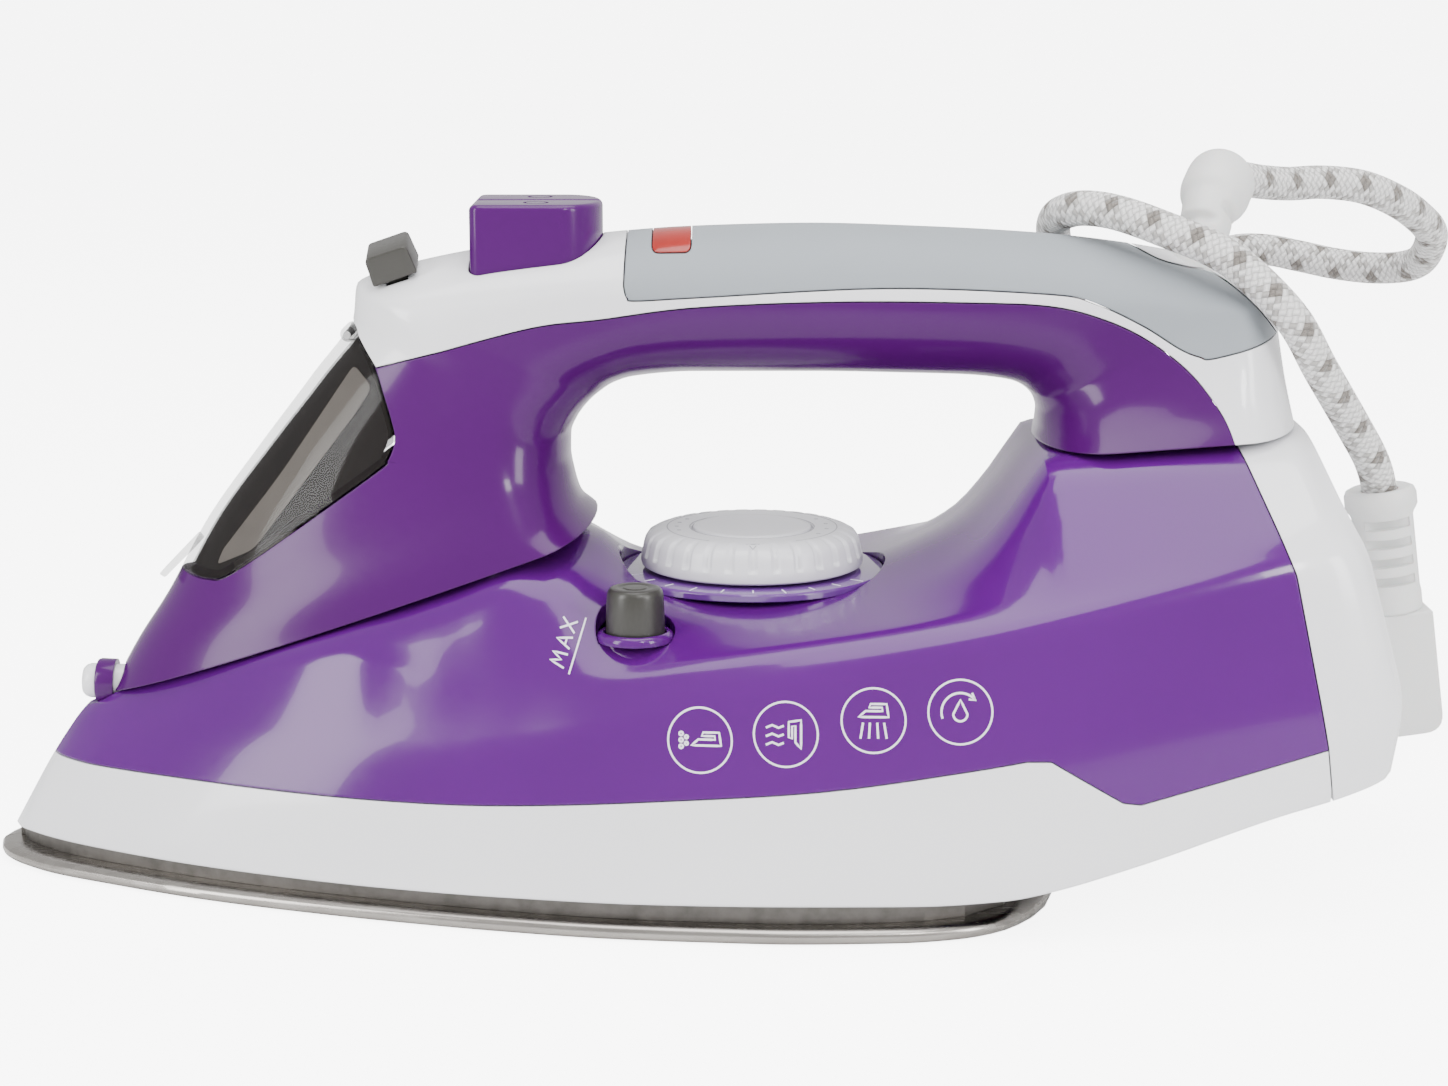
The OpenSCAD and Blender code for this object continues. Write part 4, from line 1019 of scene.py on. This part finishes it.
def dial():
    low, top, radius = 61.8, 69.6, 23.0
    profile = [
        (18, 62.6), (18.4, low), (radius - 0.9, low), (radius - 0.2, low + 0.4), (radius, low + 1.1),
        (radius - 0.05, low + 2.4), (radius - 0.2, low + 3.0), (radius - 0.35, low + 3.6),
        (radius - 0.6, low + 4.8), (radius - 0.9, low + 5.8), (radius - 1.5, low + 6.7),
        (radius - 2.6, top - 0.5), (radius - 3.6, top - 0.12), (radius - 4.6, top), (16, top),
        (13.2, top), (12.7, top - 0.05), (12.5, top - 0.6), (12.3, top - 0.75), (6, top - 0.75),
        (5.5, 67), (18, 66),
    ]
    notches, per_notch = 30, 14
    turns = notches * per_notch
    rings = []
    for i in range(turns):
        a = 2 * math.pi * i / turns
        part = abs((i % per_notch) / per_notch - 0.5) * 2
        notch = min(1.0, max(0.0, (0.34 - part) / 0.12))
        ring = []
        for r, z in profile:
            depth = 0.75 * notch if low + 2.9 < z and r > 19.0 else 0
            ring.append((DIAL_X + (r - depth) * math.cos(a), (r - depth) * math.sin(a), z))
        rings.append(ring)
    knob = loft("dial_knob", rings, closed=True)
    stands_for(knob, "temperature_dial", angle=28)
    cap = lathe("dial_disc", [
        (0.01, 68.9), (12.0, 68.9), (12.2, 69.2), (12.15, 69.7), (11.7, 69.9), (11.0, 69.86),
        (9.6, 69.72), (6, 69.66), (0.01, 69.64),
    ], 128, (DIAL_X, 0, 0))
    stands_for(cap, "dial_cap", angle=28)
    ring = lathe("scale_disc", [
        (8, RING_SEAT), (27.2, RING_SEAT), (27.5, 59.6), (27.5, 60.7), (27.2, 61.1), (26.7, 61.2), (8, 61.2),
    ], 160, (DIAL_X, 0, 0))
    stands_for(ring, "scale_ring", angle=28)


def clean_button():
    knob = lathe("clean_knob", [
        (0.01, 32), (2, 32), (2, 54), (5.75, 54.8), (5.8, 55.4), (5.72, 60), (5.55, 63.2), (5.3, 64.0),
        (4.9, 64.4), (4.3, 64.58), (3.4, 64.55), (3.1, 64.42), (2.4, 64.42), (2.2, 64.55), (0.01, 64.6),
    ], 96, (*CLEAN_AT, 0))
    stands_for(knob, "self_clean_button", angle=28)
    collar = lathe("clean_boss", [
        (6.1, 54), (7.65, 54), (7.6, 54.9), (7.4, 55.4), (7.0, 55.75), (6.6, 55.9), (6.3, 55.85), (6.1, 55.6),
    ], 96, (*CLEAN_AT, 0))
    stands_for(collar, "self_clean_collar", angle=40)


KEY_TOP = 137.1
KEY_ROUNDING = 1.2
KEY_GAP = 0.3         # from the middle to either key


def push_buttons():
    for side, name, node in ((-1, "spray_key_top", "spray_button"), (1, "steam_key_top", "steam_button")):
        rings = [[(x, y, 118.2) for x, y in key_half(side, 0, KEY_GAP)]]
        for a in np.linspace(0, math.pi / 2, 6):
            shrink = KEY_ROUNDING * (1 - math.cos(a))
            level = KEY_TOP - KEY_ROUNDING * (1 - math.sin(a))
            rings.append([(x, y, level) for x, y in key_half(side, shrink, KEY_GAP + shrink)])
        key = loft(name, rings)
        cut(key, column("hollow", key_half(side, 2, 2.3), 116, 134.8))
        at = (-27.5, side * 7, 0)
        dent = lathe("dent", [(0.01, 136.9), (2.6, 136.9), (2.6, 139), (0.01, 139)], 48, at)
        core = lathe("core", [(0.01, 136.7), (2.0, 136.7), (2.0, 139), (0.01, 139)], 48, at)
        cut(dent, core)
        cut(key, dent)
        stem = upright("stem", 2.9, 120, 135.2, PUMP_X, side * PUMP_Y, 48)
        stands_for(join(name, [key, stem]), node)


LEVER_AT = (-55.9, 0, 123.2)
LEVER_SLOPE = math.radians(19)
LEVER_REACH = 30
LEVER_REST = math.radians(11)


def lever_place(x, y, z, lean=LEVER_REST):
    """Place in the lever's frame, origin on its pivot, to a place in the frame."""
    y, z = y * math.cos(lean) - z * math.sin(lean), y * math.sin(lean) + z * math.cos(lean)
    z -= LEVER_REACH
    c, s = math.cos(LEVER_SLOPE), math.sin(LEVER_SLOPE)
    return LEVER_AT[0] + x * c - z * s, LEVER_AT[1] + y, LEVER_AT[2] + x * s + z * c


def steam_lever():
    cap = prism("cap", rounded_outline(
        [(-4.7, 30.4), (4.7, 30.4), (4.4, 36.4), (-4.4, 36.4)], (0.5, 0.5, 1.1, 1.1)), 5.8)
    bevel(cap, 0.8, 3, 50)
    arm = prism("arm", [(-2, 0), (2, 0), (2, 31), (-2, 31)], 3)
    hub = across_x("hub", 4, 2)
    stands_for(placed(join("steam_slider", [cap, arm, hub]), lever_place), "steam_lever")


def across_x(name, radius, half):
    rings = [[(x, radius * math.cos(2 * math.pi * i / 48), radius * math.sin(2 * math.pi * i / 48))
              for i in range(48)] for x in (-half, half)]
    return loft(name, rings)


def lever_slot():
    slot = prism("slot", [(-2.4, 15), (2.4, 15), (2.4, 36), (-2.4, 36)], 10.5)
    return placed(slot, lambda x, y, z: lever_place(x, y, z, lean=0))


def finish_handle():
    cut(top_trim, lever_slot())
    cut(top_trim, upright("hole", 7.9, 105, 124, 104.8, -1.4))
    nozzle_seat = nozzle_piece("seat", [(0.01, -7), (4.9, -7), (4.9, 7), (0.01, 7)])
    cut(handle_upper, copy(nozzle_seat, "seat_twin"))
    cut(tank, nozzle_seat)
    stands_for(handle_upper, "handle_shell")
    stands_for(top_trim, "top_cover")
    stands_for(grip, "soft_grip")


NOZZLE_AT = (-118, 36.6)
NOZZLE_LEAN = math.radians(-88)


def nozzle_piece(name, profile):
    """A turned piece whose profile runs along the nozzle's own axis, put in its place."""
    obj = lathe(name, profile, 64)
    c, s = math.cos(NOZZLE_LEAN), math.sin(NOZZLE_LEAN)
    for v in obj.data.vertices:
        x, y, z = v.co
        v.co = (x * c + z * s + NOZZLE_AT[0] * MM, y, -x * s + z * c + NOZZLE_AT[1] * MM)
    return obj


def nozzle():
    tip = nozzle_piece("nozzle_tip", [
        (0.6, -6), (3.65, -6), (3.65, 3.4), (3.6, 4.4), (3.3, 5.2), (2.7, 5.8), (1.8, 6.0), (0.9, 5.9),
        (0.6, 5.5),
    ])
    stands_for(tip, "spray_nozzle", angle=40)
    collar = nozzle_piece("nozzle_ring", [
        (3.75, -1), (4.7, -1), (4.75, 2.2), (4.5, 2.8), (4.1, 3), (3.75, 2.7),
    ])
    stands_for(collar, "nozzle_collar", angle=40)


def water_lid():
    lip = prism("lip", rounded_outline(
        [(-106.6, 60.3), (-105.4, 59.5), (-98.2, 66.6), (-99.2, 67.9)], (0.5, 0.5, 0.5, 0.5)), 4)
    bevel(lip, 0.35, 2, 50)
    barrel = across("barrel", 1.6, 8.4, HINGE)
    cut(lid, across("pin_bore", 0.85, 24, HINGE))
    for side in (-1, 1):
        cut(lid, across("ear_room", 2.5, 3.9, HINGE, middle=side * 6.4))
    whole = join("water_lid", [lid, lip, barrel])
    stands_for(whole, "fill_lid")
    # Painted shade: a near-black sheet just inside the see-through lid stands in for the shaded hollow behind
    # it
    shade_sheet = layer("lid_shade_sheet", WALL + 0.5, WALL + 1.2, offset_line(lid_line, -1.2))
    band = layer("lid_band", WALL + 0.1, WALL + 0.4, rounded_outline(BAND_LINE, (1.5, 1.5, 3, 2, 1, 1, 6)))
    for obj, slot, look in ((shade_sheet, "dark_satin", "shade_sheet"), (band, "inner_plastic", "band")):
        dress(obj, slot, print_and_shade=look)
        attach(obj, "lid")


def pilot_light():
    bevel(lens, 0.4, 3, 50)
    stands_for(lens, "pilot_light_lens")


def springs():
    turned = 14 * math.pi
    for side, node in ((-1, "spray_spring"), (1, "steam_spring")):
        y = side * PUMP_Y
        path = [(PUMP_X + 2.7 * math.cos(a), y + 2.7 * math.sin(a), 110.5 + 9 * a / turned)
                for a in np.linspace(0, turned, 220)]
        wire = horn(node + "_wire", path, lambda s, a: 0.35)
        dress(wire, "spring_steel", 60)
        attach(wire, "iron")
        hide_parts(node)
        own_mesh(wire)


# ---------------------------------------------------------------- soleplate
SOLE_HALF = [
    (-142.5, 0.6), (-141.4, 5), (-138.9, 9.5), (-134, 14.4), (-128.6, 18.6), (-117, 25),
    (-94.6, 35.8), (-73.6, 43.6), (-53.1, 50), (-33.2, 55.3), (-13.6, 59.4), (5.6, 61.7),
    (24.7, 63), (43.9, 62.3), (55.5, 60), (63.6, 55.9), (70, 49), (74.5, 40), (77, 30),
]


def sole_ring(inset, z, n=120):
    i = np.arange(n + 1) / n
    x = -142.5 + 219.5 * i**1.6
    y = np.maximum(0.3, curve(SOLE_HALF, x) - inset)
    x = x + inset * (1 - 2 * i**3)
    near = [(a, b, z) for a, b in zip(x, y)]
    return near + [(a, -b, z) for a, b, _ in near[::-1]]


def soleplate():
    # how far in from the edge, and height
    levels = [(1.6, 0.0), (0.7, 0.25), (0.2, 0.8), (0, 1.5), (0.12, 2.2), (0.5, 2.7), (1.2, 3.05), (2.2, 3.2)]
    plate = loft("sole", [sole_ring(i, z) for i, z in levels])
    spots = [(-108 + 18 * i, side * (float(curve(SOLE_HALF, -108 + 18 * i)) - 13))
             for side in (-1, 1) for i in range(9)]
    spots += [(-122 + 12 * i, 0) for i in range(5)]
    for x, y in spots:
        cut(plate, upright("outlet", 1.3, -1, 4.2, x, y, 24))
    stands_for(plate, "soleplate")


finish_tank()
finish_handle()
dial()
clean_button()
push_buttons()
steam_lever()
nozzle()
water_lid()
pilot_light()
springs()
soleplate()


# ---------------------------------------------------------------- printed marks
def surface_of(obj):
    mesh = obj.data
    points = [v.co.copy() for v in mesh.vertices]
    return BVHTree.FromPolygons(points, [tuple(p.vertices) for p in mesh.polygons])


def ribbon(name, lines, width, tree, way, place, lift=0.06, thick=0.05):
    """Thin printed strokes laid on a surface: lines are in their own plane, place turns them into rays."""
    points, faces = [], []
    for line in lines:
        p = np.array(line, float)
        shut = np.linalg.norm(p[0] - p[-1]) < 1e-6
        if shut:
            p = p[:-1]
        fine = []
        pairs = zip(p, np.roll(p, -1, 0)) if shut else zip(p[:-1], p[1:])
        for a, b in pairs:
            count = max(1, int(np.linalg.norm(b - a) / 0.8))
            fine += [a + (b - a) * k / count for k in range(count)]
        if not shut:
            fine.append(p[-1])
        fine = np.array(fine)
        ahead = (np.roll(fine, -1, 0) - np.roll(fine, 1, 0)) if shut else np.gradient(fine, axis=0)
        ahead /= np.maximum(1e-9, np.linalg.norm(ahead, axis=1))[:, None]
        across_ = np.stack([-ahead[:, 1], ahead[:, 0]], axis=1)
        start = len(points)
        for q, side in zip(fine, across_):
            for offset in (-width / 2, width / 2):
                at = place(*(q + side * offset))
                hit, normal, _, _ = tree.ray_cast(Vector(at) * MM, Vector(way))
                if hit is None:
                    hit, normal = Vector(at) * MM, -Vector(way)
                if normal.dot(Vector(way)) > 0:
                    normal = -normal
                points += [(hit + normal * h * MM) / MM for h in (-thick, lift)]
        count = len(fine)
        for i in range(count if shut else count - 1):
            a, b = start + 4 * i, start + 4 * ((i + 1) % count)
            faces += [(a + 1, a + 3, b + 3, b + 1), (a, b, b + 2, a + 2), (a, a + 1, b + 1, b),
                      (a + 2, b + 2, b + 3, a + 3)]
        if not shut:
            a, b = start, start + 4 * (count - 1)
            faces += [(a, a + 2, a + 3, a + 1), (b, b + 1, b + 3, b + 2)]
    return tidy_normals(new_object(name, points, faces))


def circle(cx, cy, r, n=40, start=0.0, stop=360.0):
    return [(cx + r * math.cos(math.radians(a)), cy + r * math.sin(math.radians(a)))
            for a in np.linspace(start, stop, n)]


def little_iron(cx, cy, k):
    """Outline of a small iron, k times as large."""
    body = [
        (-3, -1), (3, -1), (2.6, 1.6), (-0.6, 1.6), (-0.9, 0.9), (1.7, 0.9), (1.8, 0.2), (-1.6, 0.2),
        (-3, -1),
    ]
    return [[(cx + k * x, cy + k * y) for x, y in body]]


def turned_by(lines, cx, cy, degrees):
    c, s = math.cos(math.radians(degrees)), math.sin(math.radians(degrees))
    return [[(cx + (x - cx) * c - (y - cy) * s, cy + (x - cx) * s + (y - cy) * c) for x, y in line]
            for line in lines]


def droplet(cx, cy, k):
    left = [(-0.9 * math.cos(math.radians(a)), -0.9 * math.sin(math.radians(a)))
            for a in np.linspace(0, 180, 13)]
    return [[(cx + k * x, cy + k * y) for x, y in [(0, 1.8), *left, (0, 1.8)]]]


BADGES = [(5.6, 38.6), (22, 40.1), (38.7, 42.9), (55.2, 44.6)]


def side_place(x, z):
    return x, -90, z


def side_marks():
    tree = surface_of(tank)
    rings = [circle(x, z, 6.1, 49) for x, z in BADGES]
    signs = []
    (ax, az), (bx, bz), (cx, cz), (dx, dz) = BADGES
    signs += little_iron(ax + 1.2, az, 0.95)
    signs += [circle(ax - 3.6, az + y, 0.35, 9) for y in (-1.2, 0, 1.2)]
    signs += [circle(ax - 2.6, az + y, 0.3, 9) for y in (-0.6, 0.6)]
    signs += turned_by(little_iron(bx + 2, bz, 0.9), bx + 2, bz, 90)
    signs += [[(bx - 3.8, bz + y), (bx - 2.6, bz + y + 0.5), (bx - 1.4, bz + y), (bx - 0.4, bz + y + 0.4)]
              for y in (-2, -0.4, 1.2)]
    signs += little_iron(cx, cz + 1.6, 0.95)
    signs += [[(cx + x, cz - 0.4), (cx + x * 1.25, cz - 3.4)] for x in (-2, -0.7, 0.7, 2)]
    signs += droplet(dx, dz - 0.4, 1.5)
    signs.append(circle(dx, dz, 3.6, 19, 40, 200))
    signs.append([(dx + 2.2, dz + 3.6), (dx + 2.9, dz + 2.2), (dx + 1.6, dz + 2.4)])
    way = (0, 1, 0)
    for name, lines, width in (("badge_rings", rings, 0.38), ("badge_signs", signs, 0.42)):
        mark = ribbon(name, lines, width, tree, way, side_place)
        dress(mark, "tank_plastic", print_and_shade="white")
        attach(mark, "iron")


def level_mark():
    """Water level mark: three letters and a line, read from the front."""
    strokes = [
        [(0, 0), (0.4, 3), (1.2, 0.9), (2.0, 3), (2.4, 0)],
        [(3.4, 0), (4.4, 3), (5.4, 0)], [(3.8, 1.1), (5.0, 1.1)],
        [(6.2, 0), (8.2, 3)], [(6.2, 3), (8.2, 0)],
        [(-0.6, -1.3), (9.2, -1.3)],
    ]
    lean = math.radians(72)
    c, s = math.cos(lean), math.sin(lean)
    lines = [[(-21.0 + x * c - y * s, 49.8 + x * s + y * c) for x, y in line] for line in strokes]
    mark = ribbon("level_mark", lines, 0.34, surface_of(tank), (0, 1, 0), side_place)
    dress(mark, "tank_plastic", print_and_shade="white")
    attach(mark, "iron")


def above(x, y):
    return x, y, 110


def dial_marks():
    ticks = [[(DIAL_X + r * math.cos(a), r * math.sin(a)) for r in (24.0, 26.4 if k % 3 else 27.0)]
             for k, a in enumerate(np.radians(np.arange(-160, -20, 14)))]
    ring = bpy.data.objects["scale_disc"]
    mark = ribbon("scale_ticks", ticks, 0.3, surface_of(ring), (0, 0, -1), above)
    dress(mark, "scale_clear", print_and_shade="white")
    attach(mark, "iron")
    knob = bpy.data.objects["dial_knob"]
    arcs = [[(DIAL_X + r * math.cos(a), r * math.sin(a)) for a in np.radians(np.linspace(start, stop, 30))]
            for r, start, stop in ((17.6, -60, 60), (17.6, 120, 240), (12.95, 0, 359.9))]
    dots = [circle(DIAL_X + 15.6 * math.cos(math.radians(a)), 15.6 * math.sin(math.radians(a)), 0.35, 9)
            for a in (-30, -10, 10, 30, 150, 165, 180, 195)]
    pointer = [[(DIAL_X + 1.3, -18.6), (DIAL_X, -20.2), (DIAL_X - 1.3, -18.6), (DIAL_X + 1.3, -18.6)]]
    mark = ribbon("dial_print", arcs + dots + pointer, 0.22, surface_of(knob), (0, 0, -1), above, 0.03, 0.02)
    dress(mark, "dial_white", print_and_shade="grey")
    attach(mark, "dial")


side_marks()
level_mark()
dial_marks()


# ---------------------------------------------------------------- parts kept from the CAD model
def dress_cad():
    for name, node in frame["nodes"].items():
        if node.hide_render:
            continue
        node.data.materials.clear()
        node.data.materials.append(MATERIALS[SLOT_OF[name]])


# ---------------------------------------------------------------- stage
def floor():
    half = 3000
    corners = [(-half, -half), (half, -half), (half, half), (-half, half)]
    obj = new_object("floor", [(x, y, -0.02) for x, y in corners], [(0, 1, 2, 3)])
    n = Nodes("floor")
    n.set(Roughness=0.9, Specular_IOR_Level=0.0, Emission_Color=(1, 1, 1, 1))
    seen = n.add("ShaderNodeLightPath").outputs["Is Camera Ray"]
    n.link(n.math("MULTIPLY", seen, 6.0), n.shader.inputs["Emission Strength"])
    n.link(n.ramp(n.noise(3.0), [(0.3, (0.93, 0.93, 0.93)), (0.7, (0.95, 0.95, 0.95))]),
           n.shader.inputs["Base Color"])
    obj.data.materials.append(n.material)


def area_light(name, place, target, width, height, watts):
    data = bpy.data.lights.new(name, "AREA")
    data.shape = "RECTANGLE"
    data.size, data.size_y = width, height
    data.energy = watts
    light = bpy.data.objects.new(name, data)
    light.location = place
    light.rotation_euler = (Vector(target) - Vector(place)).to_track_quat("-Z", "Y").to_euler()
    bpy.context.scene.collection.objects.link(light)


def studio():
    world = bpy.data.worlds.new("studio")
    bpy.context.scene.world = world
    world.use_nodes = True
    background = world.node_tree.nodes["Background"]
    background.inputs["Color"].default_value = (1, 1, 1, 1)
    # the backdrop is brighter to the camera than it is as a light
    seen = world.node_tree.nodes.new("ShaderNodeLightPath")
    strength = world.node_tree.nodes.new("ShaderNodeMapRange")
    strength.inputs["To Min"].default_value = 0.95
    strength.inputs["To Max"].default_value = 7.0
    world.node_tree.links.new(seen.outputs["Is Camera Ray"], strength.inputs["Value"])
    world.node_tree.links.new(strength.outputs["Result"], background.inputs["Strength"])
    area_light("top", (0.05, -0.05, 1.1), (0, 0, 0.05), 1.0, 0.8, 13)
    area_light("left", (-0.9, -0.6, 0.5), (0, 0, 0.06), 0.35, 0.8, 9)
    area_light("right", (0.9, -0.7, 0.55), (0.05, 0, 0.06), 0.3, 0.7, 8)
    area_light("window", (0.35, -0.75, 0.75), (0.03, 0, 0.07), 0.16, 0.22, 3)


dress_cad()
floor()
studio()
